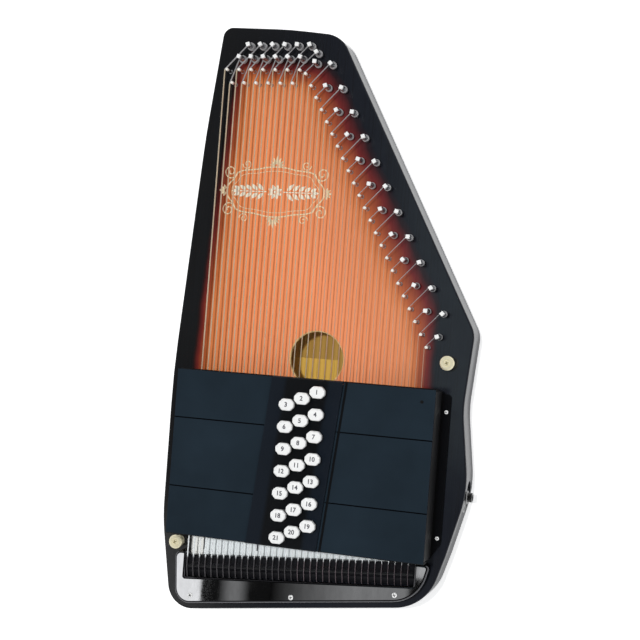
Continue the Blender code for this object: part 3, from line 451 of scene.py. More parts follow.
def string_steel(name, bright, dull, rings):
    """String wire, painted pale under the bars and over the note strip as painted light, with painted
    shade past the bridge; rings are a bass string's winding.
    """
    look = Look(name, bright, 0.34)
    slope = look.minus(look.axis("Y"), look.times(look.axis("X"), BRIDGE_LINE[1]))
    corner = place(0, bridge_y(0))
    edge = corner.y - BRIDGE_LINE[1] * corner.x + BRIDGE_WIDTH / 2 - 2 * MM
    past = look.above(slope, edge, 3 * MM)
    wipe = look.noise(220.0, 4.0, stretch=(1.0, 0.3, 1.0))
    shade = look.mix(wipe, bright, scaled(bright, 0.85))
    # Painted light: from under the bars down over the note strip, the wire is pale and barely metallic.
    open_part = look.above(look.axis("Y"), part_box("cover_bass")[1].y - 20 * MM, 10 * MM)
    shade = look.mix(open_part, (0.92, 0.95, 0.96), shade)
    # Painted shade: past the bridge, under the plate, the wire takes the dull colour.
    look.paint(look.mix(past, dull, shade))
    look.set("Metallic", look.ramp(open_part, ((0.0, 0.1), (1.0, 0.6))))
    look.dull(wipe, (0.3, 0.3), (0.7, 0.45))
    if rings:
        turn = look.maths("SINE", look.times(look.axis("Y"), 2 * pi / WINDING_PITCH))
        look.bump(turn, 0.02 * MM, 0.15)
    return look.material


def make_looks():
    cover_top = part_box("cover_bass")[1].z
    fine = 0.01 * MM
    return {
        "top": sunburst(),
        "lacquer": black_lacquer(),
        "inside": raw_wood("inside_wood", (0.62, 0.38, 0.09), (0.42, 0.24, 0.05)),
        "hole_edge": raw_wood("hole_edge_wood", (0.84, 0.62, 0.30), (0.66, 0.44, 0.18)),
        "chrome": metal("chrome", (0.80, 0.81, 0.83), 0.02, 0.03),
        # A darker copy of chrome for the plate's edges: painted dark reflection.
        "chrome_edge_painted_reflection": metal("chrome_edge_painted_reflection", (0.13, 0.13, 0.14), 0.12),
        "pin": metal("nickel", (0.66, 0.67, 0.69), 0.22, 0.1, 500.0),
        # Painted highlight: near-white, barely metallic tops for tuning pins and screw heads.
        "painted_highlight": speckled("nickel_painted_highlight", (0.97, 0.97, 0.96), 0.3, 900.0, fine, 0.02, metallic=0.08),
        # Painted highlight: near-white tops for the guide pins.
        "guide": speckled("guide_pin_painted_highlight", (0.97, 0.93, 0.86), 0.3, 900.0, fine, 0.02, metallic=0.08),
        # The last colour of each string is painted shade past the bridge.
        "plain": string_steel("plain_string", (0.88, 0.62, 0.46), (0.12, 0.095, 0.105), False),
        "wound": string_steel("wound_string", (0.92, 0.77, 0.56), (0.065, 0.06, 0.065), True),
        "coil": speckled("coil_steel", (0.60, 0.59, 0.60), 0.32, 900.0, fine, 0.1, metallic=0.6),
        "jack": metal("jack_nickel", (0.42, 0.42, 0.42), 0.3, 0.15, 500.0),
        "brass": speckled("brass", (0.98, 0.90, 0.64), 0.3, 500.0, fine, 0.03, metallic=0.35),
        # Painted shade for the cross recess of the strap buttons' screws.
        "brass_painted_shade": speckled("brass_recess_painted_shade", (0.42, 0.34, 0.13), 0.4, 500.0, fine, 0.08, metallic=0.4),
        "screw": metal("screw_steel", (0.72, 0.72, 0.72), 0.22, 0.12, 500.0),
        # Painted shade on the cover's side walls and groove floors, under its top.
        "cover": speckled("cover_plastic", (0.0125, 0.0215, 0.0310), 0.6, 1100.0, 0.12 * MM, 0.4,
                          (cover_top, (0.0010, 0.0012, 0.0022)), ior=1.22),
        "panel": panel_plastic((0.0034, 0.0072, 0.0140), (0.0012, 0.0018, 0.0032)),
        "holder": speckled("holder_plastic", (0.0015, 0.0016, 0.0025), 0.5, 900.0, 0.04 * MM),
        "bridge": speckled("bridge_plastic", (0.009, 0.009, 0.011), 0.32, 700.0, 0.03 * MM),
        "bar": bar_and_felt(),
        "button": speckled("button_plastic", (0.90, 0.90, 0.89), 0.28, 500.0, fine, 0.03),
        "print": speckled("dark_print", (0.07, 0.07, 0.085), 0.5, 900.0, fine),
        "gold": speckled("cream_gold_print", (0.82, 0.66, 0.42), 0.42, 600.0, 0.02 * MM, 0.14),
        "cream": speckled("cream_print", (0.88, 0.82, 0.66), 0.45, 600.0, 0.02 * MM, 0.08),
        "strip": paper("note_strip_paper", (0.94, 0.99, 1.0), (0.82, 0.90, 0.94), PITCH, 0.5 * MM,
                       12.0 * MM),
        "label": paper("label_paper", (0.88, 0.56, 0.11), (0.45, 0.28, 0.05), 9.0 * MM, 0.35 * MM),
        # Near-black painted shade for screw recesses and the jack's bore.
        "dark": speckled("black_painted_shade", (0.01, 0.01, 0.01), 0.6, 900.0, 0.02 * MM),
        "pickup": speckled("pickup_case", (0.012, 0.012, 0.013), 0.22, 500.0, 0.02 * MM),
    }


# Objects and meshes

def linked(name, data):
    obj = bpy.data.objects.new(name, data)
    bpy.context.collection.objects.link(obj)
    return obj


def soften(mesh, degrees):
    mesh.shade_smooth()
    mesh.set_sharp_from_angle(angle=radians(degrees))


def finished(name, bm, looks, smooth=None):
    """Link a mesh as an object in its looks or a material, smooth under an angle in degrees."""
    bmesh.ops.recalc_face_normals(bm, faces=bm.faces)
    mesh = bpy.data.meshes.new(name)
    bm.to_mesh(mesh)
    bm.free()
    obj = linked(name, mesh)
    for look in looks if isinstance(looks, tuple) else (looks,):
        mesh.materials.append(LOOKS.get(look, look))
    if smooth:
        soften(mesh, smooth)
    return obj


def add_rings(bm, rings, index=0, closed=False):
    """One body through rings of equal counts, capped or closed to a loop."""
    rows = [[bm.verts.new(point) for point in ring] for ring in rings]
    count = len(rows[0])
    faces = []
    for low, high in zip(rows, rows[1:] + rows[:1] * closed):
        for k in range(count):
            after = (k + 1) % count
            faces.append(bm.faces.new((low[k], low[after], high[after], high[k])))
    if not closed:
        faces.append(bm.faces.new(rows[0][::-1]))
        faces.append(bm.faces.new(rows[-1]))
    for face in faces:
        face.material_index = index
    return faces


def level(outline, z):
    return [(x, y, z) for x, y in outline]


def add_prism(bm, outline, low, high, index=0):
    add_rings(bm, [level(outline, low), level(outline, high)], index)


def circle(radius, sides):
    return [(radius * cos(2 * pi * k / sides), radius * sin(2 * pi * k / sides)) for k in range(sides)]


def turned(profile, sides, centre):
    """Rings of a piece turned about Z, from (radius, height) pairs."""
    return [[(x + centre[0], y + centre[1], height + centre[2]) for x, y in circle(radius, sides)]
            for radius, height in profile]


def rounded(corners, degrees=3.0):
    """Outline through corners (x, y, radius), each turned into an arc."""
    points = []
    for k, (x, y, radius) in enumerate(corners):
        corner = Vector((x, y))
        back = (Vector(corners[k - 1][:2]) - corner).normalized()
        ahead = (Vector(corners[(k + 1) % len(corners)][:2]) - corner).normalized()
        turn = pi - back.angle(ahead)
        start = corner + back * (radius * tan(turn / 2))
        side = 1.0 if back.x * ahead.y - back.y * ahead.x > 0 else -1.0
        centre = start + Vector((back.y, -back.x)) * (-side * radius)
        arm = start - centre
        steps = max(2, ceil(turn * 180 / pi / degrees))
        for j in range(steps + 1):
            angle = -side * turn * j / steps
            points.append((centre.x + arm.x * cos(angle) - arm.y * sin(angle),
                           centre.y + arm.x * sin(angle) + arm.y * cos(angle)))
    return points


def rounded_at(corners, degrees=3.0, unit=MM):
    """The same in the shared frame, from corners of the layout."""
    return rounded([(x * unit + SHIFT.x, y * unit + SHIFT.y, radius * unit) for x, y, radius in corners],
                   degrees)


def inset(outline, distance):
    """The outline drawn in by a distance; its points run clockwise."""
    drawn = []
    count = len(outline)
    for k in range(count):
        before = Vector(outline[k]) - Vector(outline[k - 1])
        after = Vector(outline[(k + 1) % count]) - Vector(outline[k])
        first = Vector((before.y, -before.x)).normalized()
        second = Vector((after.y, -after.x)).normalized()
        middle = (first + second).normalized()
        step = middle * (distance / middle.dot(first))
        drawn.append((outline[k][0] + step.x, outline[k][1] + step.y))
    return drawn


def quarter_round(width, drop, steps):
    """How far each ring of a quarter round is drawn in, and lies under the top."""
    angles = [pi / 2 * k / steps for k in range(steps + 1)]
    return [(width * (1 - cos(angle)), drop * (1 - sin(angle))) for angle in angles]


def rounded_plate(outline, bottom, top, width, drop, steps=5):
    """Rings of a plate with a quarter round at its top; a drop below 0 turns it over."""
    rings = [level(outline, bottom)]
    for drawn, under in quarter_round(width, drop, steps):
        rings.append(level(inset(outline, drawn), top - under))
    return rings + [level(inset(outline, width + FLAT_MARGIN), top)]


def tube(points, radius, sides):
    """Rings square to a path of points."""
    rings = []
    points = [Vector(point) for point in points]
    for k, point in enumerate(points):
        before = (point - points[k - 1]).normalized() if k else None
        after = (points[k + 1] - point).normalized() if k + 1 < len(points) else None
        along = ((before or after) + (after or before)).normalized()
        across = along.cross(Vector((0, 0, 1))).normalized()
        upward = across.cross(along)
        rings.append([point + across * a + upward * b for a, b in circle(radius, sides)])
    return rings


def evaluated_mesh(obj):
    bpy.context.view_layer.update()
    view = bpy.context.evaluated_depsgraph_get()
    return bpy.data.meshes.new_from_object(obj.evaluated_get(view))


def cut(obj, look, *hollows):
    """Take bodies given as rings away from an object; the cut faces wear the look."""
    cutters = []
    for rings in hollows:
        bm = bmesh.new()
        add_rings(bm, rings)
        cutters.append(finished("cutter", bm, look))
        modifier = obj.modifiers.new("cut", "BOOLEAN")
        modifier.operation = "DIFFERENCE"
        modifier.solver = "EXACT"
        modifier.object = cutters[-1]
    obj.data = evaluated_mesh(obj)
    obj.modifiers.clear()
    for cutter in cutters:
        bpy.data.objects.remove(cutter, do_unlink=True)
    soften(obj.data, EDGE_ANGLE)


def on_body(obj, slot, *replaced, body="body"):
    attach(obj, body)
    if replaced:
        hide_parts(*replaced)


def piece(name, bm, looks, slot, smooth=None, replaced=()):
    on_body(finished(name, bm, looks, smooth), slot, *replaced)


# Sound box

def make_soundboard():
    bm = bmesh.new()
    add_rings(bm, rounded_plate(rounded_at(BODY_CORNERS_MM), BOARD_BOTTOM + BODY_GAP, BOARD_TOP,
                                EDGE_ROUND, EDGE_ROUND))
    board = finished("soundboard_top", bm, ("top", "hole_edge"), EDGE_ANGLE)
    width, depth = HOLE_CHAMFER
    profile = ((HOLE_RADIUS, BOARD_BOTTOM - MM), (HOLE_RADIUS, BOARD_TOP - depth),
               (HOLE_RADIUS + width, BOARD_TOP + 0.1 * MM), (HOLE_RADIUS + width, BOARD_TOP + MM))
    cut(board, "hole_edge", turned(profile, 96, place(*HOLE_CENTRE)))
    on_body(board, "spruce_top", "soundboard")


def jack_place():
    """Middle of the jack's plate, on the axis, and its inner face."""
    middle = middle_of("output_jack")
    return Vector((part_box("output_jack")[1].x - JACK_REACH, middle.y, middle.z))


def stadium(length, width, sides, drawn_in=0.0):
    """A long round-ended shape along the first axis."""
    radius = width / 2 - drawn_in
    reach = (length - width) / 2
    half = sides // 2
    points = []
    for end, start in ((reach, -pi / 2), (-reach, pi / 2)):
        points += [(end + radius * cos(start + pi * k / (half - 1)),
                    radius * sin(start + pi * k / (half - 1))) for k in range(half)]
    return points


def along_x(outline, offset, centre):
    """An outline drawn upright, square to +X."""
    return [(centre.x + offset, centre.y + a, centre.z + b) for a, b in outline]


def turned_x(profile_mm, sides, centre):
    """Rings of a piece turned about an axis along +X, from (radius, offset) pairs."""
    return [along_x(circle(radius * MM, sides), offset * MM, centre) for radius, offset in profile_mm]


def make_sides():
    """The frame between the plates, lacquered outside and bare inside, with the jack's seat."""
    bm = bmesh.new()
    outline = rounded_at(BODY_CORNERS_MM)
    inner = inset(outline, SIDE_WALL)
    low, high = BACK_TOP + BODY_GAP, BOARD_BOTTOM - BODY_GAP
    rings = [level(outline, low), level(outline, high), level(inner, high), level(inner, low)]
    count = len(outline)
    for face in add_rings(bm, rings, closed=True)[2 * count:3 * count]:
        face.material_index = 1
    sides = finished("sound_box_sides", bm, ("lacquer", "inside"))
    centre = jack_place()
    seat = [along_x(stadium(*JACK_SEAT), offset, centre) for offset in (-0.3 * MM, 30 * MM)]
    cut(sides, "lacquer", seat, turned_x(((6.3, -40.0), (6.3, 1.0)), 40, centre))
    on_body(sides, "lacquered_wood", "pin_block", "bass_rail", "treble_rail", "end_block")


def make_back():
    """Back plate, its lower edge rounded, with bare wood inside."""
    bm = bmesh.new()
    rings = rounded_plate(rounded_at(BODY_CORNERS_MM), BACK_TOP, 0.0, EDGE_ROUND, -EDGE_ROUND)
    add_rings(bm, rings)[-2].material_index = 1
    piece("back_panel", bm, ("lacquer", "inside"), "lacquered_wood", EDGE_ANGLE, ["back_plate"])


def make_label():
    """A plain paper label on the back, seen through the sound hole."""
    bm = bmesh.new()
    outline = rounded_at(LABEL_CORNERS_MM, 30)
    add_rings(bm, [level(outline, BACK_TOP), level(outline, BACK_TOP + 0.15 * MM),
                   level(inset(outline, 0.1 * MM), BACK_TOP + 0.2 * MM)])
    piece("inside_label", bm, "label", "lacquered_wood")


# Strings and pins

def string_radius(i):
    return BASS_RADIUS + i / (STRING_COUNT - 1) * (TREBLE_RADIUS - BASS_RADIUS)


def guide_place(i):
    x = i * PITCH + GUIDE_RADIUS + STRING_LIFT + string_radius(i)
    if i < LEVEL_STRINGS:
        return Vector((x, GUIDE_ROWS_Y[i % 2]))
    return Vector((x, -(i - LEVEL_STRINGS - 1) * SLANT_STEP))


def tuning_place(i):
    if i == LEVEL_STRINGS - 1:
        kind = "last"
    elif i < LEVEL_STRINGS:
        kind = "near" if i % 2 else "far"
    else:
        kind = "slant_near" if i % 2 else "slant_far"
    dx, dy = TUNING_OFFSETS_MM[kind]
    return Vector((i * PITCH + dx * MM, guide_place(i).y + dy * MM))


def bridge_y(x):
    return BRIDGE_LINE[0] + BRIDGE_LINE[1] * x


def anchor_y(x):
    return ANCHOR_LINE[0] + ANCHOR_LINE[1] * x


def string_points(i):
    """From the anchor over the saddle, round the guide pin and down its tuning pin in a coil."""
    x, radius = i * PITCH, string_radius(i)
    z = SADDLE_TOP + STRING_LIFT + radius
    guide, pin = guide_place(i), tuning_place(i)
    towards = (pin - guide).normalized()
    bend_y = guide.y + (guide.x - x) * tan(atan2(towards.x, towards.y) / 2)
    reach = TUNING_RADIUS + radius
    coil_z = NEAR_COIL_Z if i % 2 else FAR_COIL_Z
    points = [place(x, anchor_y(x), BOARD_TOP + 4.3 * MM),
              place(x, bridge_y(x) - SADDLE_HALF, z - 0.15 * MM),
              place(x, bridge_y(x) + SADDLE_HALF, z), place(x, bend_y - MM, z)]
    start = atan2(towards.x, -towards.y)
    for k in range(int(COIL_TURNS * COIL_STEPS) + 1):
        angle = start - 2 * pi * k / COIL_STEPS
        drop = (2 * radius + 0.05 * MM) * k / COIL_STEPS
        points.append(place(pin.x + reach * cos(angle), pin.y + reach * sin(angle), coil_z - drop))
    return points


def make_strings():
    for look, numbers in (("wound", range(WOUND_COUNT)), ("plain", range(WOUND_COUNT, STRING_COUNT))):
        bm = bmesh.new()
        for i in numbers:
            faces = add_rings(bm, tube(string_points(i), string_radius(i), STRING_SIDES))
            for face in faces[STRING_SIDES * 3:]:
                face.material_index = 1
        piece(look + "_strings", bm, (look, "coil"), "string_steel", 50, ["string_set"])


def make_anchor():
    """The bar that the strings' ends hook into, with a ferrule at each."""
    bm = bmesh.new()
    west, east = ANCHOR_ENDS_X
    outline = placed([(x, anchor_y(x) + side * ANCHOR_HALF) for x, side in
                      ((west, 1), (east, 1), (east, -1), (west, -1))])
    add_rings(bm, rounded_plate(outline, BOARD_TOP, BOARD_TOP + 6.0 * MM, 0.8 * MM, 0.8 * MM, 3))
    ferrule = [(0.6 * MM, 0.0), (1.5 * MM, 0.5 * MM), (1.5 * MM, 1.2 * MM), (0.6 * MM, 1.7 * MM)]
    for i in range(STRING_COUNT):
        x = i * PITCH
        add_rings(bm, turned(ferrule, 10, place(x, anchor_y(x) + 0.5 * MM, BOARD_TOP + 5.6 * MM)))
    piece("string_anchor", bm, "screw", "string_steel", 40)


def make_pins():
    guides, tuners = bmesh.new(), bmesh.new()
    shoulder = TUNING_TOP - TUNING_SQUARE
    guide_profile = [(GUIDE_RADIUS * share, z) for share, z in (
        (1.3, BOARD_TOP - 0.1 * MM), (1.3, BOARD_TOP + 0.3 * MM), (1, BOARD_TOP + 0.6 * MM),
        (1, GUIDE_TOP - 4.0 * MM), (1, GUIDE_TOP - 0.6 * MM), (0.85, GUIDE_TOP - 0.2 * MM),
        (0.5, GUIDE_TOP))]
    round_part = [(TUNING_RADIUS, BOARD_TOP - 0.1 * MM), (TUNING_RADIUS, shoulder - 0.4 * MM),
                  (TUNING_RADIUS * 0.9, shoulder)]
    square_part = ((2.0, shoulder - 0.5 * MM), (2.0, shoulder + MM), (1.95, TUNING_TOP - 2.5 * MM),
                   (1.9, TUNING_TOP - 0.5 * MM), (1.5, TUNING_TOP))
    for i in range(STRING_COUNT):
        rings = turned(guide_profile, GUIDE_SIDES, place(*guide_place(i)))
        # The top four millimetres of each guide pin wear the painted highlight; the foot stays nickel.
        for face in add_rings(guides, rings)[:GUIDE_SIDES * 3]:
            face.material_index = 1
        centre = place(*tuning_place(i))
        add_rings(tuners, turned(round_part, 20, centre))
        turn = Matrix.Rotation(0.35 + 0.9 * (i % 5), 2)
        squares = []
        for half, z in square_part:
            outline = rounded([(s * half * MM, t * half * MM, 0.4 * MM) for s, t in
                               ((-1, 1), (1, 1), (1, -1), (-1, -1))], 45)
            spun = [turn @ Vector(point) for point in outline]
            squares.append([(centre.x + point.x, centre.y + point.y, z) for point in spun])
        faces = add_rings(tuners, squares)
        # The upper bands and top of each square head wear the painted highlight.
        for face in faces[-2 * len(squares[0]) - 2:-2] + faces[-1:]:
            face.material_index = 1
    piece("guide_pins", guides, ("guide", "pin"), "string_steel", 40)
    piece("tuning_pins", tuners, ("pin", "painted_highlight"), "string_steel", EDGE_ANGLE)


def make_saddle():
    """Dark rod along the crest of the bridge."""
    bm = bmesh.new()
    ends = [place(x, bridge_y(x), SADDLE_TOP - MM) for x in BRIDGE_ENDS_X]
    add_rings(bm, tube(ends, 1.25 * MM, 20))
    piece("saddle_rod", bm, "pickup", "black_plastic", 40)


# Plate and fittings

def body_bottom_y(x):
    x0, y0 = BODY_CORNERS_MM[8][:2]
    x1, y1 = BODY_CORNERS_MM[7][:2]
    return (y0 + (y1 - y0) * (x / MM - x0) / (x1 - x0)) * MM


def plate_outline():
    """The plate seen from above, clockwise from the mouth's bass side."""
    bass_x, treble_x = BRIDGE_ENDS_X[0] - FIT, BRIDGE_ENDS_X[1] + FIT
    lip = BRIDGE_WIDTH / 2 + FIT
    mouth_bass, mouth_treble = bridge_y(bass_x) - lip, bridge_y(treble_x) - lip
    top_bass, top_treble = mouth_bass + PLATE_EAR_LENGTHS[0], mouth_treble + PLATE_EAR_LENGTHS[1]
    outer_bass, outer_treble = bass_x - PLATE_EAR_WIDTHS[0], treble_x + PLATE_EAR_WIDTHS[1]
    corner_bass, corner_treble = outer_bass + PLATE_TAPERS[0], outer_treble - PLATE_TAPERS[1]
    corners = [
        (bass_x, top_bass, PLATE_MOUTH_RADIUS), (bass_x, mouth_bass, FIT),
        (treble_x, mouth_treble, FIT), (treble_x, top_treble, PLATE_MOUTH_RADIUS),
        (outer_treble, top_treble, PLATE_EAR_RADII[1]),
        (corner_treble, body_bottom_y(corner_treble) + PLATE_MARGIN, PLATE_CORNER_RADII[1]),
        (corner_bass, body_bottom_y(corner_bass) + PLATE_MARGIN, PLATE_CORNER_RADII[0]),
        (outer_bass, top_bass, PLATE_EAR_RADII[0]),
    ]
    return rounded_at(corners, 8.0, 1.0)


def make_plate():
    """Chromed cover over the string ends with soft edges in a darker chrome, a painted dark reflection;
    its hollow's treble corner is cut off.
    """
    bm = bmesh.new()
    rings = rounded_plate(plate_outline(), BOARD_TOP + 0.1 * MM, PLATE_TOP, *PLATE_EDGE, 7)
    # All faces but the top wear the darker chrome, a painted dark reflection on the rounded edges and
    # sides.
    add_rings(bm, rings, 1)[-1].material_index = 0
    plate = finished("string_end_plate", bm, ("chrome", "chrome_edge_painted_reflection"))
    west, east = ANCHOR_ENDS_X[0] - FIT, ANCHOR_ENDS_X[1] + FIT
    lift = PLATE_MARGIN + PLATE_WALL
    clip_x, clip_y = PLATE_HOLLOW_CLIP
    space = placed([(west, body_bottom_y(west) + lift),
                    (east - clip_x, body_bottom_y(east - clip_x) + lift),
                    (east, body_bottom_y(east) + lift + clip_y), (east, bridge_y(east)),
                    (west, bridge_y(west))])
    cut(plate, "chrome", [level(space, BOARD_TOP - MM), level(space, PLATE_TOP - PLATE_WALL)])
    on_body(plate, "chromed_steel", "anchor_cover")


def cross_bars(reach, half_width, turn):
    """Outlines of the two bars of a screw's cross recess."""
    bars = []
    for angle in (turn, turn + pi / 2):
        arm = Vector((cos(angle), sin(angle))) * reach
        side = Vector((-sin(angle), cos(angle))) * half_width
        bars.append([arm + side, arm - side, -arm - side, -arm + side])
    return bars


def add_screw(bm, centre, radius, height):
    """A domed head with a cross recess, drawn as a dark inlay of painted shade."""
    profile = [(share * radius, rise * height) for share, rise in
               ((1.0, 0.0), (1.0, 0.25), (0.86, 0.7), (0.55, 0.95), (0.2, 1.0))]
    add_rings(bm, turned(profile, SCREW_SIDES, centre))
    # The cross is a dark inlay of painted shade, not a cut.
    for bar in cross_bars(0.62 * radius, 0.13 * radius, 0.4):
        ring = [(centre[0] + point.x, centre[1] + point.y) for point in bar]
        add_prism(bm, ring, centre[2] + 0.6 * height, centre[2] + height + 0.04 * MM, 1)


def make_screw_set(name, places, radius, height, look="painted_highlight", slot="string_steel"):
    bm = bmesh.new()
    for centre in places:
        add_screw(bm, centre, radius * MM, height * MM)
    # Heads wear the painted highlight unless another look is given.
    piece(name, bm, (look, "dark"), slot, 40)


def make_screws():
    plate = [place(x * MM, y * MM, PLATE_TOP) for x, y in PLATE_SCREWS_MM]
    holders = [place(x * MM, y * MM, FLANGE_TOP) for x, y in HOLDER_SCREWS_MM]
    cover = place(*(value * MM for value in COVER_SCREW_MM))
    make_screw_set("plate_screws", plate, 2.5, 1.1)
    make_screw_set("holder_screws", holders, 1.9, 1.1)
    make_screw_set("cover_screw", [cover], 1.6, 0.3, "holder", "black_plastic")


def make_pickup_screws():
    low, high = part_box("pickup")
    y = place(0, PICKUP_Y).y
    places = [Vector((x, y, PICKUP_TOP)) for x in (low.x + 5 * MM, high.x - 26 * MM)]
    make_screw_set("pickup_screws", places, 2.0, 0.9, "screw", "pickup_case")


def make_strap_buttons():
    for node in ("strap_button_upper", "strap_button_lower"):
        centre = middle_of(node)
        centre.z = BOARD_TOP
        bm = bmesh.new()
        add_rings(bm, turned([(r * MM, z * MM) for r, z in STRAP_PROFILE_MM], 40, centre))
        add_screw(bm, centre + Vector((0, 0, 12.0 * MM)), 2.9 * MM, 1.2 * MM)
        piece(node + "_turned", bm, ("brass", "brass_painted_shade"), "brass_fitting", 40, [node])


def make_jack():
    """Oval plate with two screws, washer, hex nut, threaded bushing and a bore lined in painted shade.
    """
    centre = jack_place()
    bm = bmesh.new()
    rings = [along_x(stadium(*JACK_PLATE), 0.0, centre)]
    for drawn, under in quarter_round(JACK_PLATE_ROUND, JACK_PLATE_ROUND, 4):
        rings.append(along_x(stadium(*JACK_PLATE, drawn), JACK_PLATE_TOP - under, centre))
    add_rings(bm, rings)
    washer = ((7.4, 1.7), (7.4, 2.3), (7.1, 2.5))
    nut = ((7.0, 2.4), (7.0, 3.8), (6.3, 4.3))
    thread = [(4.6, 1.8), (4.6, 4.3)]
    for k in range(12):
        thread += [(4.6, 4.5 + 0.35 * k), (4.25, 4.67 + 0.35 * k)]
    thread += [(4.4, 8.8), (4.1, 9.0), (3.3, 9.0)]
    bore = [(3.2, 8.7), (3.2, -18.2)]
    add_rings(bm, turned_x(washer, 36, centre))
    add_rings(bm, turned_x(nut, 6, centre))
    # The bore's wall and ends, the tube behind the plate and the screws' crosses wear painted shade.
    for face in add_rings(bm, turned_x(thread + bore, JACK_SIDES, centre))[-2 - JACK_SIDES:]:
        face.material_index = 1
    add_rings(bm, turned_x(((6.0, -24.0), (6.0, 0.5)), JACK_SIDES, centre), 1)
    for side in (-1, 1):
        head = centre + Vector((0, side * 11.6 * MM, 0))
        add_rings(bm, turned_x(((1.9, 1.7), (1.9, 2.0), (1.4, 2.4), (0.5, 2.6)), 18, head))
        for bar in cross_bars(1.2 * MM, 0.22 * MM, 0.5):
            add_rings(bm, [along_x(bar, offset, head) for offset in (2.2 * MM, 2.64 * MM)], 1)
    piece("jack_fitting", bm, ("jack", "dark"), "jack_metal", EDGE_ANGLE, ["output_jack"])


# Buttons

def add_digits(bm, text, centre):
    """Raised digits on a button, from the built-in font."""
    curve = bpy.data.curves.new("digits", "FONT")
    curve.body = text
    curve.size = DIGIT_SIZE
    curve.align_x = curve.align_y = "CENTER"
    curve.extrude = 0.04 * MM
    curve.offset = 0.14 * MM
    curve.resolution_u = 4
    obj = linked("digits", curve)
    mesh = evaluated_mesh(obj)
    mesh.transform(Matrix.Translation(centre))
    for face in mesh.polygons:
        face.material_index = 1
    bm.from_mesh(mesh)
    bpy.data.objects.remove(obj, do_unlink=True)
    bpy.data.meshes.remove(mesh)
    bpy.data.curves.remove(curve)


def button_outline(centre, length, width, drawn):
    """Eight-sided outline with round corners, drawn in by a distance."""
    x, y = length / 2 - drawn, width / 2 - drawn
    corner = BUTTON_CORNER - drawn * (2 - 2 ** 0.5)
    radius = max(0.4 * MM, BUTTON_CORNER_RADIUS - drawn)
    points = ((-x + corner, y), (x - corner, y), (x, y - corner), (x, corner - y),
              (x - corner, -y), (corner - x, -y), (-x, corner - y), (-x, y - corner))
    return rounded([(centre.x + a, centre.y + b, radius) for a, b in points], 10.0)


def make_buttons():
    """Caps trimmed towards the tuning pins, on stems that stay where the CAD slots are."""
    for n in range(1, 22):
        node = f"chord_button_{n:02d}"
        low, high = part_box(node)
        middle = middle_of(node)
        length, width = high.x - low.x, high.y - low.y - BUTTON_TRIM
        centre = Vector((middle.x, middle.y - BUTTON_TRIM / 2, high.z - 0.06 * MM))
        bottom = high.z - BUTTON_HEIGHT
        bm = bmesh.new()
        add_rings(bm, [level(button_outline(centre, length, width, drawn * MM), bottom + z * MM)
                       for drawn, z in BUTTON_PROFILE_MM])
        x, y = STEM_HALF
        stem = [(middle.x + a, middle.y + b) for a, b in ((-x, y), (x, y), (x, -y), (-x, -y))]
        add_prism(bm, stem, low.z, bottom + 0.5 * MM)
        add_digits(bm, str(n), centre)
        button = finished(f"button_cap_{n:02d}", bm, ("button", "print"), 45)
        on_body(button, "button_plastic", node, body=f"bar_{n:02d}")


# Printed pieces on the board

def add_ribbon(bm, points, width, high, closed=False, index=0):
    """A flat printed line along points of the layout."""
    count = len(points)
    rings = []
    for k, point in enumerate(points):
        if closed:
            along = points[(k + 1) % count] - points[k - 1]
        else:
            along = points[min(k + 1, count - 1)] - points[max(k - 1, 0)]
        side = Vector((-along.y, along.x)).normalized() * width / 2
        a, b = place(*(point + side)), place(*(point - side))
        rings.append([(a.x, a.y, PRINT_LOW), (b.x, b.y, PRINT_LOW), (b.x, b.y, high), (a.x, a.y, high)])
    add_rings(bm, rings, index, closed)


def leaf(base, angle, length, width, start=0.0):
    """Outline of a leaf or petal that begins a little way out from its base."""
    ahead = Vector((cos(angle), sin(angle)))
    side = Vector((-ahead.y, ahead.x))
    base = base + ahead * start
    steps = 7
    right, left = ([base + ahead * (length * k / steps)
                    + side * (hand * width / 2 * sin(pi * (k / steps) ** 0.8))
                    for k in range(steps + 1)] for hand in (1, -1))
    return right + left[-2:0:-1]


def spiral(centre, start_radius, turns, start_angle, hand):
    """Points of a scroll winding inward."""
    points = []
    steps = int(24 * turns)
    for k in range(steps + 1):
        share = k / steps
        radius = start_radius * (1 - 0.85 * share)
        angle = start_angle + hand * 2 * pi * turns * share
        points.append(centre + Vector((radius * cos(angle), radius * sin(angle))))
    return points


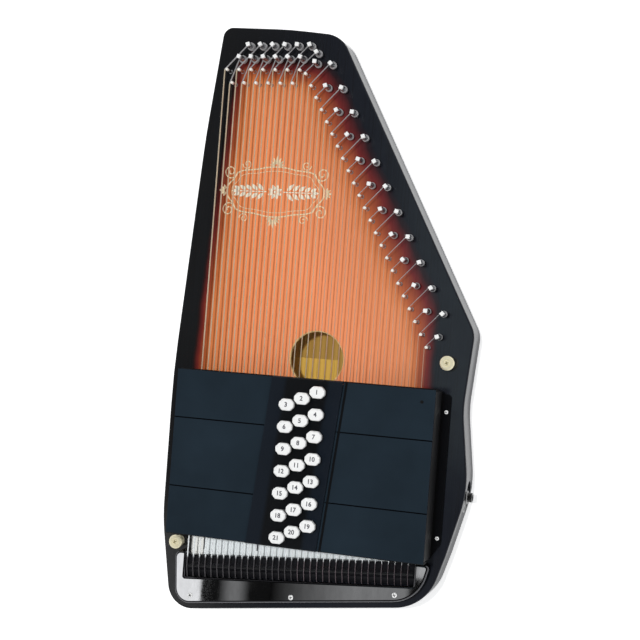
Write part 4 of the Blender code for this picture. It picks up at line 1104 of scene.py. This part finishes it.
def make_ornament():
    """A generic printed ornament: a leafy spray in a lozenge between scrolls."""
    high = BOARD_TOP + 0.05 * MM
    scroll_top = high - 0.03 * MM
    bm = bmesh.new()

    def at(x, y):
        return ORNAMENT_CENTRE + Vector((x * MM, y * MM))

    def add_flat(outline, index):
        add_prism(bm, placed(outline), PRINT_LOW, high, index)

    for reach_x, reach_y, width, top in ((49.0, 24.0, 1.3 * MM, high),
                                         (49.0 * 0.9, 20.0, 0.6 * MM, high - 0.015 * MM)):
        frame_line = []
        for k in range(96):
            angle = 2 * pi * k / 96
            ripple = 1.0 + 0.035 * cos(8 * angle)
            across, up = cos(angle), sin(angle)
            frame_line.append(at(reach_x * ripple * abs(across) ** 0.85 * (1 if across > 0 else -1),
                                 reach_y * ripple * abs(up) ** 0.7 * (1 if up > 0 else -1)))
        add_ribbon(bm, frame_line, width, top, True)
    for sx in (-1, 1):
        inward = 0.0 if sx > 0 else pi
        for sy in (-1, 1):
            outer = spiral(at(sx * 48, sy * 19), 7.5 * MM, 1.6, pi - inward, sx * sy)
            inner = spiral(at(sx * 31, sy * 27), 5.0 * MM, 1.4, 2 * pi - inward, -sx * sy)
            add_ribbon(bm, outer, 1.1 * MM, scroll_top)
            add_ribbon(bm, inner, 0.9 * MM, scroll_top)
            for k in range(5):
                tilt = atan2(sy * (1.0 - 0.1 * k), sx)
                length = (10.0 - 0.8 * k) * MM
                add_flat(leaf(at(sx * (12 + 6.2 * k), sy), tilt, length, 3.8 * MM, 0.6 * MM), 1)
        stem = [at(sx * (9 + 29 * k / 12), 0.0) for k in range(13)]
        add_ribbon(bm, stem, MM, high, index=1)
        add_flat(leaf(at(sx * 38.5, 0), inward, 7 * MM, 3.6 * MM), 1)
        for k in range(5):
            petal = (6.5 - 0.8 * abs(k - 2)) * MM
            add_flat(leaf(at(sx * 51, 0), inward + radians(-60 + 30 * k), petal, 2.4 * MM, 1.8 * MM), 0)
    for k in range(8):
        add_flat(leaf(at(0, 0), pi / 8 + k * pi / 4, 6.0 * MM, 3.4 * MM, 1.8 * MM), 1)
    add_flat([at(x, y) for x, y in circle(1.3, 16)], 1)
    for sy in (-1, 1):
        for k in range(7):
            petal = (9.0 - 1.2 * abs(k - 3)) * MM
            angle = sy * pi / 2 + radians(-72 + 24 * k)
            add_flat(leaf(at(0, sy * 25), angle, petal, 2.4 * MM, 2.2 * MM), 0)
    piece("printed_ornament", bm, ("gold", "cream"), "spruce_top")


def make_note_strip():
    """A plain measuring strip beside the bridge, with a line at each string."""
    bm = bmesh.new()
    left, right = BRIDGE_ENDS_X[0], LAST_X + 3.5 * MM
    lift = BRIDGE_WIDTH / 2 + 0.2 * MM
    far = lift + NOTE_STRIP_WIDTH
    outline = placed([(left, bridge_y(left) + far), (right, bridge_y(right) + far),
                      (right, bridge_y(right) + lift), (left, bridge_y(left) + lift)])
    add_rings(bm, [level(outline, PRINT_LOW), level(outline, BOARD_TOP + 0.12 * MM),
                   level(inset(outline, 0.08 * MM), BOARD_TOP + 0.18 * MM)])
    for x, reach, thick in NOTE_MARKS_MM:
        base = bridge_y(x * MM) + lift + 5 * MM
        top = base + reach * MM
        low_x, high_x = (x - thick / 2) * MM, (x + thick / 2) * MM
        mark = placed([(low_x, base), (high_x, base), (high_x, top), (low_x, top)])
        add_prism(bm, mark, BOARD_TOP + 0.1 * MM, BOARD_TOP + 0.21 * MM, 1)
    piece("note_strip", bm, ("strip", "print"), "spruce_top")


def make_panel_seam():
    """Dark strip of painted shadow in the step between the button panel's treble edge and its cover."""
    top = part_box("cover_treble")[1].z
    low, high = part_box("centre_panel")
    lean = tan(PANEL_SLANT) * (high.y - low.y) / 2
    far = SHADOW_STRIP_OFFSET + SHADOW_STRIP_WIDTH
    corners = [(high.x + SHADOW_STRIP_OFFSET, high.y), (high.x + far, high.y),
               (high.x - 2 * lean + far, low.y), (high.x - 2 * lean + SHADOW_STRIP_OFFSET, low.y)]
    bm = bmesh.new()
    add_prism(bm, corners, top - 0.1 * MM, top + 0.2 * MM)
    piece("panel_shadow_strip", bm, "holder", "black_plastic")


def dress_nodes():
    """Give the CAD pieces that stay their finishes."""
    finishes = {
        "bridge": ("bridge_rail",), "pickup": ("pickup",), "cover": ("cover_bass", "cover_treble"),
        "panel": ("centre_panel",), "holder": ("chord_bar_holder_bass", "chord_bar_holder_treble"),
        "bar": [f"chord_bar_{n:02d}" for n in range(1, 22)],
    }
    for look, names in finishes.items():
        for name in names:
            for entry in frame["nodes"][name].material_slots:
                entry.material = LOOKS[look]


# Camera, floor and light

def make_camera():
    data = bpy.data.cameras.new("camera")
    data.lens = CAMERA_LENS
    data.sensor_width = 36.0
    data.clip_start, data.clip_end = 0.05, 30.0
    camera = linked("camera", data)
    back = CAMERA_BACK.normalized()
    right = (CAMERA_RIGHT - back * CAMERA_RIGHT.dot(back)).normalized()
    turn = Matrix((right, back.cross(right), back)).transposed().to_4x4()
    camera.matrix_world = Matrix.Translation(place(*CAMERA_PLACE)) @ turn
    bpy.context.scene.camera = camera


def card(name, centre, width, height, strength, colour=(1.0, 1.0, 1.0), fades=(0.001, 0.001)):
    """A white card overhead, only for reflections, that fades out at its ends."""
    bm = bmesh.new()
    corners = ((-width, -height), (width, -height), (width, height), (-width, height))
    bm.faces.new([bm.verts.new((centre[0] + x / 2, centre[1] + y / 2, centre[2])) for x, y in corners])
    look = Look(name, (0.0, 0.0, 0.0), 1.0, ior=1.0)
    look.set("Emission Color", colour)
    share = look.add("SeparateXYZ", {0: look.add("TexCoord", {}, "Generated")}, "X")
    light = look.ramp(share, ((0.0, 0.0), (fades[0], 1.0), (1.0 - fades[1], 1.0), (1.0, 0.0)))
    look.set("Emission Strength", look.times(light, strength))
    obj = finished(name, bm, look.material)
    obj.visible_camera = False
    obj.visible_diffuse = False
    obj.visible_shadow = False


def make_floor():
    look = Look("pale_floor", (0.86, 0.86, 0.86), 0.7)
    seen = look.times(look.add("LightPath", {}, "Is Camera Ray"), 0.58)
    mirrored = look.times(look.add("LightPath", {}, "Is Glossy Ray"), 0.1)
    look.set("Emission Color", (1.0, 1.0, 1.0))
    look.set("Emission Strength", look.maths("ADD", seen, mirrored))
    bm = bmesh.new()
    bmesh.ops.create_grid(bm, x_segments=1, y_segments=1, size=12.0)
    floor = finished("floor", bm, look.material)
    floor.location.z = -0.5 * MM


def make_world():
    """Even fill light, a white horizon and a dark ceiling in reflections."""
    world = bpy.data.worlds.new("studio")
    bpy.context.scene.world = world
    world.use_nodes = True
    wiring = Wiring(world.node_tree)
    height = wiring.add("SeparateXYZ", {0: wiring.add("TexCoord", {}, "Generated")}, "Z")
    ceiling = wiring.ramp(height, ((0.0, 0.9), (0.35, 0.6), (0.62, 0.2), (0.85, 0.006)))
    shown = wiring.mix(wiring.add("LightPath", {}, "Is Glossy Ray"), (0.40, 0.41, 0.42), ceiling)
    seen = wiring.mix(wiring.add("LightPath", {}, "Is Camera Ray"), shown, (1.0, 1.0, 1.0))
    wiring.feed(world.node_tree.nodes["Background"].inputs["Color"], seen)


def make_lamp(name, centre, size, power):
    """A round lamp aimed at the middle of the part, kept out of reflections."""
    data = bpy.data.lights.new(name, "AREA")
    data.shape = "DISK"
    data.size = size
    data.energy = power
    lamp = linked(name, data)
    lamp.location = centre
    lamp.rotation_mode = "QUATERNION"
    lamp.rotation_quaternion = (-Vector(centre)).to_track_quat("-Z", "Y")
    lamp.visible_glossy = False


def make_studio():
    make_floor()
    make_world()
    make_lamp("key", (0.0, 0.15, 1.9), 0.16, 19.0)
    make_lamp("fill", (1.3, -0.7, 1.6), 1.2, 5.0)
    card("ear_card", (-1.256, -0.71, 2.0), 0.76, 0.34, 0.93)
    card("band_card", (-0.782, -0.71, 2.0), 0.09, 0.34, 0.19, fades=(0.4, 0.4))
    card("right_card", (-0.4925, -0.71, 2.0), 0.375, 0.34, 0.215, fades=(0.6, 0.001))
    card("spot_card", (-0.27, -0.58, 2.0), 0.07, 0.05, 0.45, fades=(0.3, 0.3))
    card("sky_card", (-0.22, 0.3, 2.0), 0.36, 1.2, 0.5, (0.75, 0.95, 1.0))


for leftover in list(bpy.data.objects):
    bpy.data.objects.remove(leftover, do_unlink=True)
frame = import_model()
SHIFT = layout_origin()
LOOKS = make_looks()
for make in (make_camera, make_soundboard, make_sides, make_back, make_label, make_strings, make_anchor,
             make_pins, make_saddle, make_plate, make_screws, make_strap_buttons, make_jack,
             make_buttons, make_ornament, make_note_strip, make_pickup_screws, make_panel_seam,
             dress_nodes, make_studio):
    make()
bpy.context.scene.view_settings.view_transform = "Standard"
